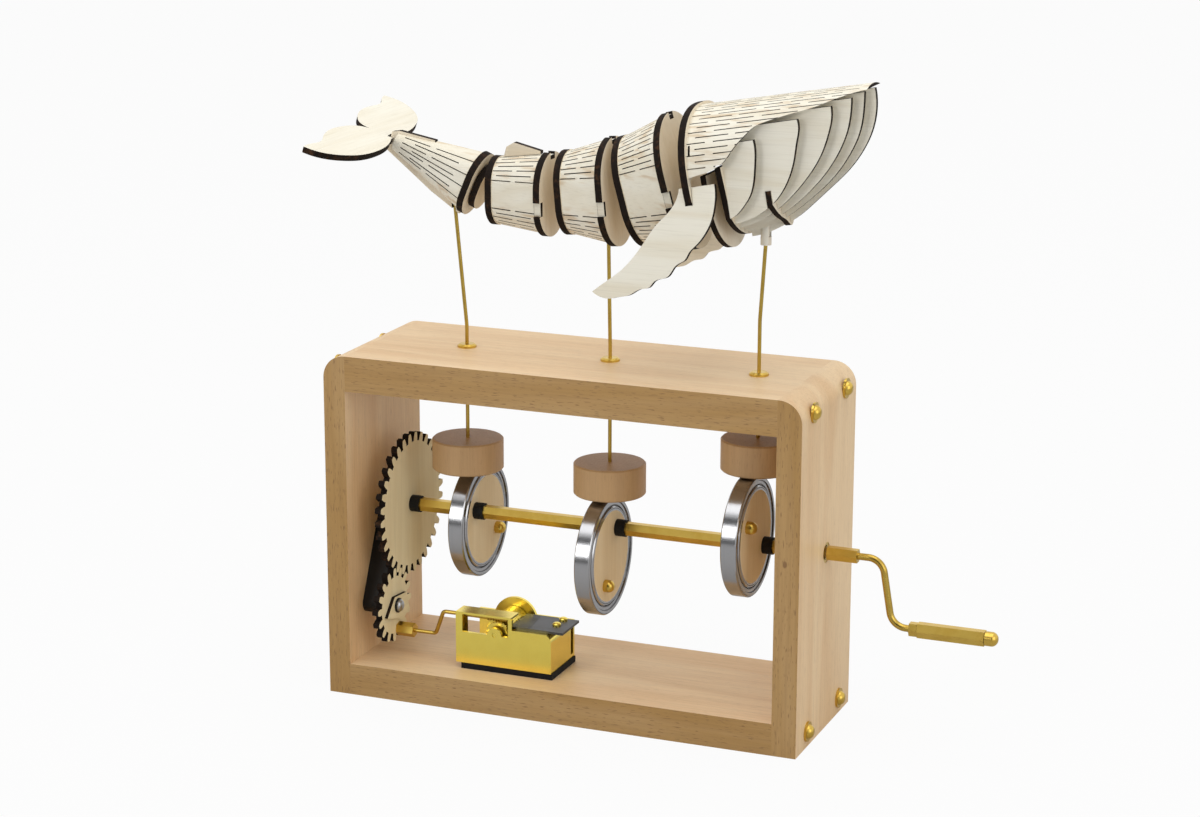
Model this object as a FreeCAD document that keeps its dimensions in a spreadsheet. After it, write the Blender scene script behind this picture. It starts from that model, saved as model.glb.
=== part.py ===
import FreeCAD, Part
import Sketcher
import math
import os

V = FreeCAD.Vector
doc = FreeCAD.newDocument("WhaleAutomaton")

# Driving dimensions, in millimetres, degrees or counts.
SIZES = [
    ("box_length", 218.0), ("box_depth", 74.8), ("box_height", 154.5), ("left_thick", 10.2),
    ("right_thick", 10.8), ("top_thick", 15.6), ("floor_thick", 14.2), ("corner_radius", 10.0),
    ("shaft_height", 80.0), ("hex_flats", 5.5), ("first_rod", -57.5), ("rod_pitch", 67.5),
    ("rod_radius", 0.8), ("eccentric", 13.0), ("first_phase", -32.0), ("phase_step", -90.0),
    ("disc_width", 7.0), ("core_radius", 20.0), ("inner_ring_radius", 21.9), ("shield_radius", 22.2),
    ("outer_ring_inside", 24.1), ("bearing_radius", 26.0), ("follower_radius", 15.8),
    ("follower_thick", 14.0), ("running_gap", 0.3), ("sleeve_radius", 3.75), ("sleeve_length", 4.5),
    ("gear_module", 1.93), ("gear_teeth", 32), ("pinion_teeth", 16), ("gear_thick", 3.0),
    ("gear_face", -85.1), ("gear_root", 28.2), ("pinion_root", 13.0), ("addendum", 1.3),
    ("backlash", 0.16), ("mesh_angle", -115.0), ("knob_radius", 12.5), ("knob_angle", -74.0),
    ("crank_radius", 29.2), ("wire_radius", 1.5), ("bend_radius", 7.2), ("grip_flats", 6.2),
    ("grip_start", 150.0), ("grip_end", 179.0), ("screw_pitch", 44.0), ("low_screw", 7.1),
    ("high_screw", 146.7), ("cylinder_radius", 6.3), ("cylinder_height", 31.5), ("cylinder_place", -35.0),
    ("link_hole", 2.0), ("dowel_radius", 1.7), ("dowel_length", 4.6), ("plate_thick", 3.0),
    ("throat_thick", 2.5), ("skin_thick", 1.7), ("frame_lip", 1.1), ("head_half_width", 29.0),
    ("head_rise", 25.9), ("throat_step", 4.5), ("comb_teeth", 18), ("wheel_teeth", 25),
    ("tail_pitch", -22.9), ("head_pitch", 10.1), ("fluke_tilt", 16.9), ("fluke_yaw", 9.0),
    ("slit_width", 0.45), ("slit_reach", 34.0),
]
sheet = doc.addObject("Spreadsheet::Sheet", "Sizes")
for row, (word, number) in enumerate(SIZES, 1):
    sheet.set("A%d" % row, word)
    sheet.set("B%d" % row, str(number))
    sheet.setAlias("B%d" % row, word)
doc.recompute()
size = dict(SIZES)
nodes = []


# Sketching and feature helpers

def body(label, keep=True):
    """A body; a kept one is a piece of the object and its label names its file."""
    made = doc.addObject("PartDesign::Body", label)
    made.Label = label
    made.AllowCompound = True
    if keep:
        nodes.append(made)
    return made


def sketch(owner, role, height="0", tilt=0.0):
    """A sketch on an origin plane, raised along its normal by an expression, tilted about its own X."""
    plane = [part for part in owner.Origin.OriginFeatures if part.Role == role][0]
    made = owner.newObject("Sketcher::SketchObject", owner.Name + "_outline")
    made.AttachmentSupport = (plane, [""])
    made.MapMode = "FlatFace"
    made.AttachmentOffset = FreeCAD.Placement(V(0, 0, 0), FreeCAD.Rotation(V(1, 0, 0), tilt))
    made.setExpression("AttachmentOffset.Base.z", height)
    return made


def circle(drawing, u, v, radius):
    """A circle about (u, v) whose radius is an expression."""
    index = drawing.addGeometry(Part.Circle(V(u, v, 0), V(0, 0, 1), 1.0))
    rule = drawing.addConstraint(Sketcher.Constraint("Radius", index, 1.0))
    drawing.setExpression("Constraints[%d]" % rule, radius)


def polygon(drawing, points):
    """A closed outline of straight sides."""
    for first, last in zip(points, points[1:] + points[:1]):
        drawing.addGeometry(Part.LineSegment(V(*first, 0), V(*last, 0)))


def outline(drawing, runs):
    """A closed outline of runs: two points are a line, three an arc, more a smooth curve."""
    for run in runs:
        points = [V(*point, 0) for point in run]
        if len(points) == 2:
            drawing.addGeometry(Part.LineSegment(*points))
        elif len(points) == 3:
            drawing.addGeometry(Part.Arc(*points))
        else:
            curve = Part.BSplineCurve()
            curve.interpolate(points)
            drawing.addGeometry(curve)


def box_points(left, right, low, high):
    return [(left, low), (right, low), (right, high), (left, high)]


def hexagon(u, v, flats, turn=0.0):
    """Corners of a hexagon given across its flats."""
    corner = flats / math.sqrt(3)
    return [(u + corner * math.cos(math.radians(60 * k + turn)),
             v + corner * math.sin(math.radians(60 * k + turn))) for k in range(6)]


def stadium(drawing, radius, flat):
    """An upright rounded section: two half circles joined by flat sides."""
    half = flat / 2
    outline(drawing, [
        [(radius, -half), (radius, half)],
        [(radius, half), (0, half + radius), (-radius, half)],
        [(-radius, half), (-radius, -half)],
        [(-radius, -half), (0, -half - radius), (radius, -half)]])


def pad(owner, drawing, length, backward=False):
    made = owner.newObject("PartDesign::Pad", owner.Name + "_pad")
    made.Profile = drawing
    made.Reversed = backward
    made.setExpression("Length", length)
    return made


def pocket(owner, drawing, length, backward=False, middle=False):
    made = owner.newObject("PartDesign::Pocket", owner.Name + "_cut")
    made.Profile = drawing
    made.Reversed = backward
    if middle:
        made.SideType = "Symmetric"
    made.setExpression("Length", length)
    return made


def revolve(owner, drawing, axis="H_Axis"):
    made = owner.newObject("PartDesign::Revolution", owner.Name + "_turned")
    made.Profile = drawing
    made.ReferenceAxis = (drawing, [axis])
    made.Angle = 360
    return made


def loft(owner, drawings, cut=False):
    kind = "PartDesign::SubtractiveLoft" if cut else "PartDesign::AdditiveLoft"
    made = owner.newObject(kind, owner.Name + "_loft")
    made.Profile = drawings[0]
    made.Sections = drawings[1:]
    made.Ruled = True
    return made


def polar(owner, feature, drawing, count, angle=360.0, axis="N_Axis"):
    made = owner.newObject("PartDesign::PolarPattern", owner.Name + "_ring")
    made.Originals = [feature]
    made.Axis = (drawing, [axis])
    made.Angle = angle
    made.setExpression("Occurrences", count)
    owner.Tip = made
    return made


def place(thing, x="0", y="0", z="0", axis=None, angle="0"):
    """Set a placement by expressions."""
    if axis:
        thing.Placement = FreeCAD.Placement(V(0, 0, 0), FreeCAD.Rotation(V(*axis), 1))
        thing.setExpression("Placement.Rotation.Angle", angle)
    thing.setExpression("Placement.Base.x", x)
    thing.setExpression("Placement.Base.y", y)
    thing.setExpression("Placement.Base.z", z)


def copies(label, source, places):
    """One node that is several equal pieces: the source at each place."""
    links = []
    for number, spot in enumerate(places, 1):
        link = doc.addObject("App::Link", "%s_%d" % (label, number))
        link.LinkedObject = source
        link.LinkPlacement = spot
        links.append(link)
    return gather(label, links)


def gather(label, pieces):
    group = doc.addObject("Part::Compound", label)
    group.Label = label
    group.Links = pieces
    nodes.append(group)
    return group


def spot(x, y, z, axis=(0, 0, 1), angle=0.0):
    return FreeCAD.Placement(V(x, y, z), FreeCAD.Rotation(V(*axis), angle))


def drilled(owner, role, holes, depth, height="0", backward=False, middle=False):
    """Round holes (u, v, radius expression) cut from a plane of the body."""
    drawing = sketch(owner, role, height)
    for u, v, radius in holes:
        circle(drawing, u, v, radius)
    return pocket(owner, drawing, depth, backward, middle)


half_length = size["box_length"] / 2
half_depth = size["box_depth"] / 2
axle = size["shaft_height"]
rods = [size["first_rod"] + size["rod_pitch"] * k for k in range(3)]
phases = [size["first_phase"] + size["phase_step"] * k for k in range(3)]
screw_rows = (size["low_screw"], size["high_screw"])
screw_sides = (-size["screw_pitch"] / 2, size["screw_pitch"] / 2)


# Box: two side panels and two boards between them

def side_panel(label, outer, inner):
    """A panel whose top outer edge is rounded, bored for the shaft bush and four screws."""
    side = -1 if outer < 0 else 1
    top = size["box_height"]
    bend = size["corner_radius"]
    nook = bend * (1 - math.sqrt(0.5))
    owner = body(label)
    face = sketch(owner, "XZ_Plane", "-Sizes.box_depth / 2")
    outline(face, [
        [(inner, 0), (outer, 0)],
        [(outer, 0), (outer, top - bend)],
        [(outer, top - bend), (outer - side * nook, top - nook), (outer - side * bend, top)],
        [(outer - side * bend, top), (inner, top)],
        [(inner, top), (inner, 0)]])
    pad(owner, face, "Sizes.box_depth")
    drilled(owner, "YZ_Plane", [(y, z, "1.75") for y in screw_sides for z in screw_rows],
            "Sizes.box_length + 10", middle=True)
    return owner


left = side_panel("left_panel", -half_length, -half_length + size["left_thick"])
drilled(left, "YZ_Plane", [(0, axle, "4.55")], "8.5", "-Sizes.box_length / 2 + Sizes.left_thick")
right = side_panel("right_panel", half_length, half_length - size["right_thick"])
drilled(right, "YZ_Plane", [(0, axle, "4.55")], "Sizes.box_length", "Sizes.box_length")


def board(label, low, high, row):
    """A board between the panels, drilled from its ends for the screws."""
    owner = body(label)
    face = sketch(owner, "XZ_Plane", "-Sizes.box_depth / 2")
    polygon(face, box_points(-half_length + size["left_thick"], half_length - size["right_thick"], low, high))
    pad(owner, face, "Sizes.box_depth")
    ends = [(y, row, "1.75") for y in screw_sides]
    drilled(owner, "YZ_Plane", ends, "12", "-Sizes.box_length / 2 + Sizes.left_thick", backward=True)
    drilled(owner, "YZ_Plane", ends, "12", "Sizes.box_length / 2 - Sizes.right_thick")
    return owner


board("bottom_board", 0, size["floor_thick"], size["low_screw"])
top = board("top_board", size["box_height"] - size["top_thick"], size["box_height"], size["high_screw"])
drilled(top, "XY_Plane", [(x, 0, "2.5") for x in rods], "Sizes.top_thick + 2", "Sizes.box_height + 1")

# Panel screws with domed heads, washers under them
screw = body("screw_blank", keep=False)
side_view = sketch(screw, "XZ_Plane")
outline(side_view, [
    [(-20, 0), (-20, 1.7)], [(-20, 1.7), (0.9, 1.7)], [(0.9, 1.7), (0.9, 3.2)],
    [(0.9, 3.2), (2.6, 2.2), (3.2, 0.4)], [(3.2, 0.4), (3.2, 0)], [(3.2, 0), (-20, 0)]])
revolve(screw, side_view)
washer = body("washer_blank", keep=False)
ring = sketch(washer, "YZ_Plane")
circle(ring, 0, 0, "4.4")
circle(ring, 0, 0, "1.75")
pad(washer, ring, "0.9")
corners = [(y, z) for y in screw_sides for z in screw_rows]
outside = [spot(half_length, y, z) for y, z in corners]
outside += [spot(-half_length, y, z, (0, 0, 1), 180) for y, z in corners]
copies("panel_screws", screw, outside)
copies("panel_washers", washer, outside)

# Flanged bushes that guide the rods, and plain bushes for the shaft
bush = body("bush_blank", keep=False)
cut_view = sketch(bush, "XZ_Plane")
outline(cut_view, [
    [(0.87, -15.6), (2.45, -15.6)], [(2.45, -15.6), (2.45, 0)], [(2.45, 0), (4.2, 0)],
    [(4.2, 0), (4.2, 0.9)], [(4.2, 0.9), (3.2, 1.5)], [(3.2, 1.5), (0.87, 1.5)],
    [(0.87, 1.5), (0.87, -15.6)]])
revolve(bush, cut_view, "V_Axis")
copies("rod_bushes", bush, [spot(x, 0, size["box_height"]) for x in rods])
shaft_bush = body("shaft_bush_blank", keep=False)
ring = sketch(shaft_bush, "YZ_Plane")
circle(ring, 0, 0, "4.5")
circle(ring, 0, 0, "Sizes.hex_flats / sqrt(3) + 0.08")
pad(shaft_bush, ring, "8.2")
copies("shaft_bushes", shaft_bush, [
    spot(-half_length + size["left_thick"] - 8.3, 0, axle), spot(half_length - 8.4, 0, axle)])

# Hexagonal shaft, cam discs set at quarter turns, their ball races and clamp bolts
shaft = body("hex_shaft")
section = sketch(shaft, "YZ_Plane", "-Sizes.box_length / 2 + 2.5")
polygon(section, hexagon(0, 0, size["hex_flats"]))
pad(shaft, section, "Sizes.box_length - 2.5")
place(shaft, z="Sizes.shaft_height")

link_phases = list(phases) + [phases[0] - 45, phases[1] - 45]
link_discs = [0, 1, 2, 0, 2]


def off_centre(phase, distance):
    turn = math.radians(phase)
    return distance * math.cos(turn), distance * math.sin(turn)


discs = []
for k, phase in enumerate(phases):
    centre = off_centre(phase, size["eccentric"])
    bolt = off_centre(phase, size["eccentric"] + 13.5)
    disc = body("cam_disc_blank_%d" % (k + 1), keep=False)
    face = sketch(disc, "YZ_Plane", "-Sizes.disc_width / 2")
    circle(face, *centre, "Sizes.core_radius")
    circle(face, *bolt, "1.55")
    polygon(face, hexagon(0, 0, size["hex_flats"] + 0.04))
    pad(disc, face, "Sizes.disc_width")
    # A closed round chamber for each dowel that carries a link inside this disc.
    chambers = sketch(disc, "YZ_Plane", "-Sizes.dowel_length / 2 - 0.3")
    for turn, home in zip(link_phases, link_discs):
        if home == k:
            circle(chambers, *off_centre(turn, size["eccentric"] / 2), "Sizes.link_hole")
    pocket(disc, chambers, "Sizes.dowel_length + 0.6", backward=True)
    place(disc, x="Sizes.first_rod + %d * Sizes.rod_pitch" % k, z="Sizes.shaft_height")
    discs.append(disc)
gather("cam_discs", discs)


def race(label, inner, outer, keep=False):
    """A turned ring with eased corners, as wide as a cam disc."""
    owner = body(label, keep)
    half = size["disc_width"] / 2
    section = sketch(owner, "XZ_Plane")
    polygon(section, [(-half, inner), (half, inner), (half, outer - 0.5), (half - 0.5, outer),
                      (-half + 0.5, outer), (-half, outer - 0.5)])
    revolve(owner, section)
    return owner


inner_race = race("inner_race_blank", size["core_radius"], size["inner_ring_radius"])
centres = [off_centre(phase, size["eccentric"]) for phase in phases]
copies("bearing_inner_rings", inner_race,
       [spot(x, y, axle + z) for x, (y, z) in zip(rods, centres)])
for k in range(3):
    owner = body("bearing_outer_%d" % (k + 1))
    half = size["disc_width"] / 2
    section = sketch(owner, "XZ_Plane")
    deep = half - 0.5
    rim = size["bearing_radius"]
    lip = size["outer_ring_inside"]
    polygon(section, [
        (-deep, size["shield_radius"]), (deep, size["shield_radius"]), (deep, lip), (half, lip),
        (half, rim - 0.5), (half - 0.5, rim), (-half + 0.5, rim), (-half, rim - 0.5), (-half, lip),
        (-deep, lip)])
    revolve(owner, section)
    turn = "(Sizes.first_phase + %d * Sizes.phase_step)" % k
    place(owner, x="Sizes.first_rod + %d * Sizes.rod_pitch" % k,
          y="Sizes.eccentric * cos(%s)" % turn, z="Sizes.shaft_height + Sizes.eccentric * sin(%s)" % turn)

clamp = body("clamp_bolt_blank", keep=False)
side_view = sketch(clamp, "XZ_Plane")
outline(side_view, [
    [(-5.9, 0), (-5.9, 2.4)], [(-5.9, 2.4), (-3.5, 2.8)], [(-3.5, 2.8), (-3.5, 1.5)],
    [(-3.5, 1.5), (3.5, 1.5)], [(3.5, 1.5), (3.5, 2.75)], [(3.5, 2.75), (5.6, 2.75)],
    [(5.6, 2.75), (7.2, 2.0), (8.0, 0.4)], [(8.0, 0.4), (8.0, 0)], [(8.0, 0), (-5.9, 0)]])
revolve(clamp, side_view)
bolt_spots = [off_centre(phase, size["eccentric"] + 13.5) for phase in phases]
copies("cam_clamp_bolts", clamp, [spot(x, y, axle + z) for x, (y, z) in zip(rods, bolt_spots)])

sleeve = body("sleeve_blank", keep=False)
ring = sketch(sleeve, "YZ_Plane")
circle(ring, 0, 0, "Sizes.sleeve_radius")
polygon(ring, hexagon(0, 0, size["hex_flats"] + 0.04))
pad(sleeve, ring, "Sizes.sleeve_length")
sleeve_starts = [size["gear_face"]] + [x + size["disc_width"] / 2 for x in rods]
copies("shaft_sleeves", sleeve, [spot(x, 0, axle) for x in sleeve_starts])


# Gears with involute flanks

def involute(base, radius):
    """Polar angle, in radians, that an involute has turned through when it reaches a radius."""
    press = math.acos(base / radius)
    return math.tan(press) - press


def tooth(drawing, teeth, root):
    """One tooth about the direction of the first axis of the sketch."""
    pitch = size["gear_module"] * teeth / 2
    base = pitch * math.cos(math.radians(20))
    tip = pitch + size["addendum"]
    half = (math.pi * size["gear_module"] / 2 - size["backlash"]) / 2 / pitch + involute(base, pitch)
    spots = []
    for radius in (base + 0.02, (base + tip) / 2, tip):
        turn = half - involute(base, radius)
        spots.append((radius * math.cos(turn), radius * math.sin(turn)))
    wide = math.atan2(spots[0][1], spots[0][0])
    foot = ((root - 0.6) * math.cos(wide), (root - 0.6) * math.sin(wide))
    mirror = [(u, -v) for u, v in spots]
    outline(drawing, [
        [foot, spots[0]], spots, [spots[2], (tip, 0), mirror[2]], mirror[::-1],
        [mirror[0], (foot[0], -foot[1])], [(foot[0], -foot[1]), foot]])


def toothed(label, teeth, count, root):
    owner = body(label)
    blank = sketch(owner, "YZ_Plane")
    circle(blank, 0, 0, root)
    pad(owner, blank, "Sizes.gear_thick")
    one = sketch(owner, "YZ_Plane")
    tooth(one, teeth, size[root.split(".")[1]])
    first = pad(owner, one, "Sizes.gear_thick")
    polar(owner, first, one, count)
    return owner


mesh = math.radians(size["mesh_angle"])
spread = size["gear_module"] * (size["gear_teeth"] + size["pinion_teeth"]) / 2
pinion_y = spread * math.cos(mesh)
pinion_z = axle + spread * math.sin(mesh)
gear = toothed("drive_gear", size["gear_teeth"], "Sizes.gear_teeth", "Sizes.gear_root")
hole = sketch(gear, "YZ_Plane")
polygon(hole, hexagon(0, 0, size["hex_flats"] + 0.04, -size["mesh_angle"] - 180 / size["gear_teeth"]))
pocket(gear, hole, "10", middle=True)
place(gear, "Sizes.gear_face - Sizes.gear_thick", z="Sizes.shaft_height", axis=(1, 0, 0),
      angle="Sizes.mesh_angle + 180 / Sizes.gear_teeth")
pinion = toothed("pinion_gear", size["pinion_teeth"], "Sizes.pinion_teeth", "Sizes.pinion_root")
drilled(pinion, "YZ_Plane", [(0, 0, "1.56")], "10", middle=True)
spread_text = "Sizes.gear_module * (Sizes.gear_teeth + Sizes.pinion_teeth) / 2"
pinion_at = {"y": spread_text + " * cos(Sizes.mesh_angle)",
             "z": "Sizes.shaft_height + " + spread_text + " * sin(Sizes.mesh_angle)"}
place(pinion, "Sizes.gear_face - Sizes.gear_thick", axis=(1, 0, 0),
      angle="Sizes.mesh_angle + 180", **pinion_at)

# Bracket arm behind the gears, the pinion's axle screw, washer, front plate and knob
bracket = body("gear_bracket")
arm = sketch(bracket, "YZ_Plane", "-Sizes.box_length / 2 + Sizes.left_thick")
across = (-4.5 * math.sin(mesh), 4.5 * math.cos(mesh))
along = (4.5 * math.cos(mesh), 4.5 * math.sin(mesh))
low = (pinion_y, pinion_z)
outline(arm, [
    [(across[0], axle + across[1]), (-along[0], axle - along[1]), (-across[0], axle - across[1])],
    [(-across[0], axle - across[1]), (low[0] - across[0], low[1] - across[1])],
    [(low[0] - across[0], low[1] - across[1]), (low[0] + along[0], low[1] + along[1]),
     (low[0] + across[0], low[1] + across[1])],
    [(low[0] + across[0], low[1] + across[1]), (across[0], axle + across[1])]])
circle(arm, 0, axle, "3.5")
circle(arm, pinion_y, pinion_z, "1.5")
pad(bracket, arm, "9.7")
axle_screw = body("pinion_axle_screw")
side_view = sketch(axle_screw, "XZ_Plane")
outline(side_view, [
    [(-98, 0), (-98, 1.5)], [(-98, 1.5), (-82.9, 1.5)], [(-82.9, 1.5), (-82.9, 2.75)],
    [(-82.9, 2.75), (-82.2, 2.75)], [(-82.2, 2.75), (-81.4, 2.0), (-81.0, 0.5)],
    [(-81.0, 0.5), (-81.0, 0)], [(-81.0, 0), (-98, 0)]])
revolve(axle_screw, side_view)
place(axle_screw, **pinion_at)
black_washer = body("pinion_washer")
ring = sketch(black_washer, "YZ_Plane", "-83.5")
circle(ring, 0, 0, "3.3")
circle(ring, 0, 0, "1.5")
pad(black_washer, ring, "0.6")
place(black_washer, **pinion_at)
plate = body("pinion_plate")
face = sketch(plate, "YZ_Plane", "Sizes.gear_face")
polygon(face, [(-10.4, -3.2), (5.4, -8.0), (12, -4.9), (9, 3.5), (-3, 4.5)])
circle(face, 0, 0, "1.56")
pad(plate, face, "1.5")
place(plate, **pinion_at)
knob_y, knob_z = off_centre(size["knob_angle"], size["knob_radius"])
knob = body("pinion_knob")
face = sketch(knob, "YZ_Plane", "Sizes.gear_face")
polygon(face, hexagon(knob_y, knob_z, size["hex_flats"], 16))
pad(knob, face, "8.1")
drilled(knob, "YZ_Plane", [(knob_y, knob_z, "0.92")], "6", "Sizes.gear_face + 8.1")
place(knob, **pinion_at)


def tube_path(drawing, points, bend):
    """Straight runs joined by tangent arcs of one bend radius."""
    start = V(*points[0], 0)
    for before, corner, after in zip(points, points[1:], points[2:]):
        corner = V(*corner, 0)
        back = (V(*before, 0) - corner).normalize()
        ahead = (V(*after, 0) - corner).normalize()
        turn = math.pi - back.getAngle(ahead)
        reach = bend * math.tan(turn / 2)
        enter = corner + back * reach
        leave = corner + ahead * reach
        inward = (back + ahead).normalize()
        middle = corner + inward * (bend / math.cos(turn / 2) - bend)
        drawing.addGeometry(Part.LineSegment(start, enter))
        drawing.addGeometry(Part.Arc(enter, middle, leave))
        start = leave
    drawing.addGeometry(Part.LineSegment(start, V(*points[-1], 0)))


def wire(label, role, points, bend, radius, section_role, height, centre, turn=0.0):
    """A bent wire: a round section carried along its path."""
    owner = body(label)
    path = sketch(owner, role, "0", turn)
    tube_path(path, points, bend)
    section = sketch(owner, section_role, height)
    circle(section, *centre, radius)
    pipe = owner.newObject("PartDesign::AdditivePipe", label + "_pipe")
    pipe.Profile = section
    pipe.Spine = path
    return owner


# Music movement: bent wire crank with worm, pinned cylinder, wheels, comb and frame
reach_angle = size["knob_angle"] + 90
crank_wire = body("movement_crank")
lead = sketch(crank_wire, "XZ_Plane")
drop = size["knob_radius"]
tube_path(lead, [(-82.5, -drop), (-66.6, -drop), (-61.2, 0), (-30, 0)], 2.2)
section = sketch(crank_wire, "YZ_Plane", "-82.5")
circle(section, 0, -drop, "0.9")
pipe = crank_wire.newObject("PartDesign::AdditivePipe", "movement_crank_pipe")
pipe.Profile = section
pipe.Spine = lead
worm = sketch(crank_wire, "XZ_Plane")
turns = [(-40 + 1.25 * k, 0.5) for k in range(9)]
profile = [(-40, 0.5)]
for k in range(8):
    start = -40 + 1.25 * k
    profile += [(start + 0.2, 0.9), (start + 0.45, 1.25), (start + 0.8, 1.25), (start + 1.05, 0.9)]
profile += [(-30, 0.5)]
polygon(worm, profile)
revolve(crank_wire, worm)
place(crank_wire, axis=(1, 0, 0), angle="Sizes.knob_angle + 90", **pinion_at)

drum_x, drum_z = size["cylinder_place"], size["cylinder_height"]
drum = body("movement_cylinder")
section = sketch(drum, "XZ_Plane", "0.5")
circle(section, 0, 0, "Sizes.cylinder_radius")
circle(section, 0, 0, "1.0")
pad(drum, section, "16.5")
place(drum, x="Sizes.cylinder_place", z="Sizes.cylinder_height")
wheels = body("cylinder_wheels")
section = sketch(wheels, "XZ_Plane", "-3.2")
circle(section, 0, 0, "1.0")
pad(wheels, section, "26.4")
section = sketch(wheels, "XZ_Plane", "-1.6")
circle(section, 0, 0, "10.3")
pad(wheels, section, "1.6")
section = sketch(wheels, "XZ_Plane", "18.8")
circle(section, 0, 0, "4.75")
pad(wheels, section, "1.6")
one = sketch(wheels, "XZ_Plane", "18.8")
polygon(one, [(4.5, -0.42), (5.08, -0.22), (5.08, 0.22), (4.5, 0.42)])
first = pad(wheels, one, "1.6")
polar(wheels, first, one, "Sizes.wheel_teeth")
place(wheels, x="Sizes.cylinder_place", z="Sizes.cylinder_height")

cushion = body("movement_pad")
face = sketch(cushion, "XY_Plane", "Sizes.floor_thick")
polygon(face, box_points(-51, -7.5, -23.5, 3.5))
pad(cushion, face, "2.7")

frame = body("movement_frame")
base = 16.9
face = sketch(frame, "XY_Plane", "16.9")
polygon(face, box_points(-53.5, -8, -23.5, 3.5))
pad(frame, face, "1.8")
front = sketch(frame, "XZ_Plane", "21.9")
outline(front, [
    [(-53.5, base), (-8, base)], [(-8, base), (-8, 31)], [(-8, 31), (-9, 33.6), (-11.5, 34.6)],
    [(-11.5, 34.6), (-26.6, 34.6)], [(-26.6, 34.6), (-26.6, 38)], [(-26.6, 38), (-28.4, 38)],
    [(-28.4, 38), (-28.4, 31.2)], [(-28.4, 31.2), (-31.6, 31.2)],
    [(-31.6, 31.2), (-35, 34.6), (-38.4, 31.2)],
    [(-38.4, 31.2), (-50.3, 31.2)], [(-50.3, 31.2), (-50.3, 39.4)], [(-50.3, 39.4), (-53.5, 39.4)],
    [(-53.5, 39.4), (-53.5, base)]])
circle(front, drum_x, drum_z, "1.06")
pad(frame, front, "1.6")
end = sketch(frame, "YZ_Plane", "-53.5")
polygon(end, box_points(-23.5, -14.5, base, 39.4))
circle(end, pinion_y, pinion_z, "1.0")
pad(frame, end, "1.8")
roof = sketch(frame, "XY_Plane", "39.4")
polygon(roof, box_points(-53.5, -27, -23.5, -15))
pad(frame, roof, "0.9")
post = sketch(frame, "XZ_Plane", "21.9")
polygon(post, box_points(-28.4, -26.6, 34.6, 39.4))
pad(frame, post, "1.6")
back = sketch(frame, "XZ_Plane", "-3.5")
polygon(back, box_points(-53.5, -8, base, 34))
circle(back, drum_x, drum_z, "1.06")
pad(frame, back, "1.5")
block = sketch(frame, "XZ_Plane", "0.8")
outline(block, [
    [(-25.5, base), (-8, base)], [(-8, base), (-8, 31)], [(-8, 31), (-9, 33.6), (-11.5, 34.6)],
    [(-11.5, 34.6), (-25.5, 34.6)], [(-25.5, 34.6), (-25.5, base)]])
pad(frame, block, "21.5")

comb = body("movement_comb")
face = sketch(comb, "XY_Plane", "34.6")
count = int(size["comb_teeth"])
pitch = 19.0 / count
edge = [(-3.5, -2), (-3.5, -21)]
for k in range(count):
    side = -21 + pitch * k
    edge += [(-28.5, side + 0.12), (-28.5, side + pitch - 0.12)]
    if k < count - 1:
        edge += [(-19 - 0.15 * k, side + pitch - 0.12), (-19 - 0.15 * k, side + pitch + 0.12)]
edge += [(-28.5, -2)] if edge[-1] != (-28.5, -2.12) else []
polygon(face, edge)
circle(face, -10, -12, "1.05")
circle(face, -10, -4.5, "1.05")
pad(comb, face, "1.1")
drilled(frame, "XY_Plane", [(-10, -12, "1.05"), (-10, -4.5, "1.05")], "5", "34.6")
comb_screw = body("comb_screw_blank", keep=False)
side_view = sketch(comb_screw, "XZ_Plane")
outline(side_view, [
    [(0, -5), (1, -5)], [(1, -5), (1, 0)], [(1, 0), (1.9, 0)], [(1.9, 0), (1.9, 0.7)],
    [(1.9, 0.7), (1.3, 1.25), (0.4, 1.5)], [(0.4, 1.5), (0, 1.5)], [(0, 1.5), (0, -5)]])
revolve(comb_screw, side_view, "V_Axis")
copies("comb_screws", comb_screw, [spot(-10, -12, 35.7), spot(-10, -4.5, 35.7)])

# Hand crank: coupling, bent wire arm, turning grip and its nuts
coupling = body("crank_coupling")
face = sketch(coupling, "YZ_Plane", "Sizes.box_length / 2 + 0.6")
polygon(face, hexagon(0, 0, size["hex_flats"]))
pad(coupling, face, "13.4")
drilled(coupling, "YZ_Plane", [(0, 0, "Sizes.wire_radius + 0.02")], "6", "Sizes.box_length / 2 + 14")
place(coupling, z="Sizes.shaft_height")
low = size["crank_radius"]
crank = wire("crank_arm", "XZ_Plane", [(117.5, 0), (133.6, 0), (138.6, -low), (181, -low)],
             size["bend_radius"], "Sizes.wire_radius", "YZ_Plane", "117.5", (0, 0))
place(crank, z="Sizes.shaft_height")
grip = body("handle_grip")
face = sketch(grip, "YZ_Plane", "Sizes.grip_start")
polygon(face, hexagon(0, -low, size["grip_flats"]))
circle(face, 0, -low, "Sizes.wire_radius + 0.06")
pad(grip, face, "Sizes.grip_end - Sizes.grip_start")
place(grip, z="Sizes.shaft_height")
lock = body("lock_nut_blank", keep=False)
face = sketch(lock, "YZ_Plane", "Sizes.grip_start - 3.6")
polygon(face, hexagon(0, -low, size["hex_flats"]))
circle(face, 0, -low, "Sizes.wire_radius + 0.02")
pad(lock, face, "3.4")
place(lock, z="Sizes.shaft_height")
cap = body("dome_nut_blank", keep=False)
view = sketch(cap, "XZ_Plane")
outline(view, [
    [(179.2, 1.52), (179.2, 3.1)], [(179.2, 3.1), (182.2, 3.1)],
    [(182.2, 3.1), (184.0, 2.0), (184.6, 0.4)], [(184.6, 0.4), (184.6, 0)], [(184.6, 0), (181.2, 0)], [(181.2, 0), (181.2, 1.52)], [(181.2, 1.52), (179.2, 1.52)]])
revolve(cap, view)
place(cap, z="Sizes.shaft_height - Sizes.crank_radius")
gather("handle_nuts", [lock, cap])

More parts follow.
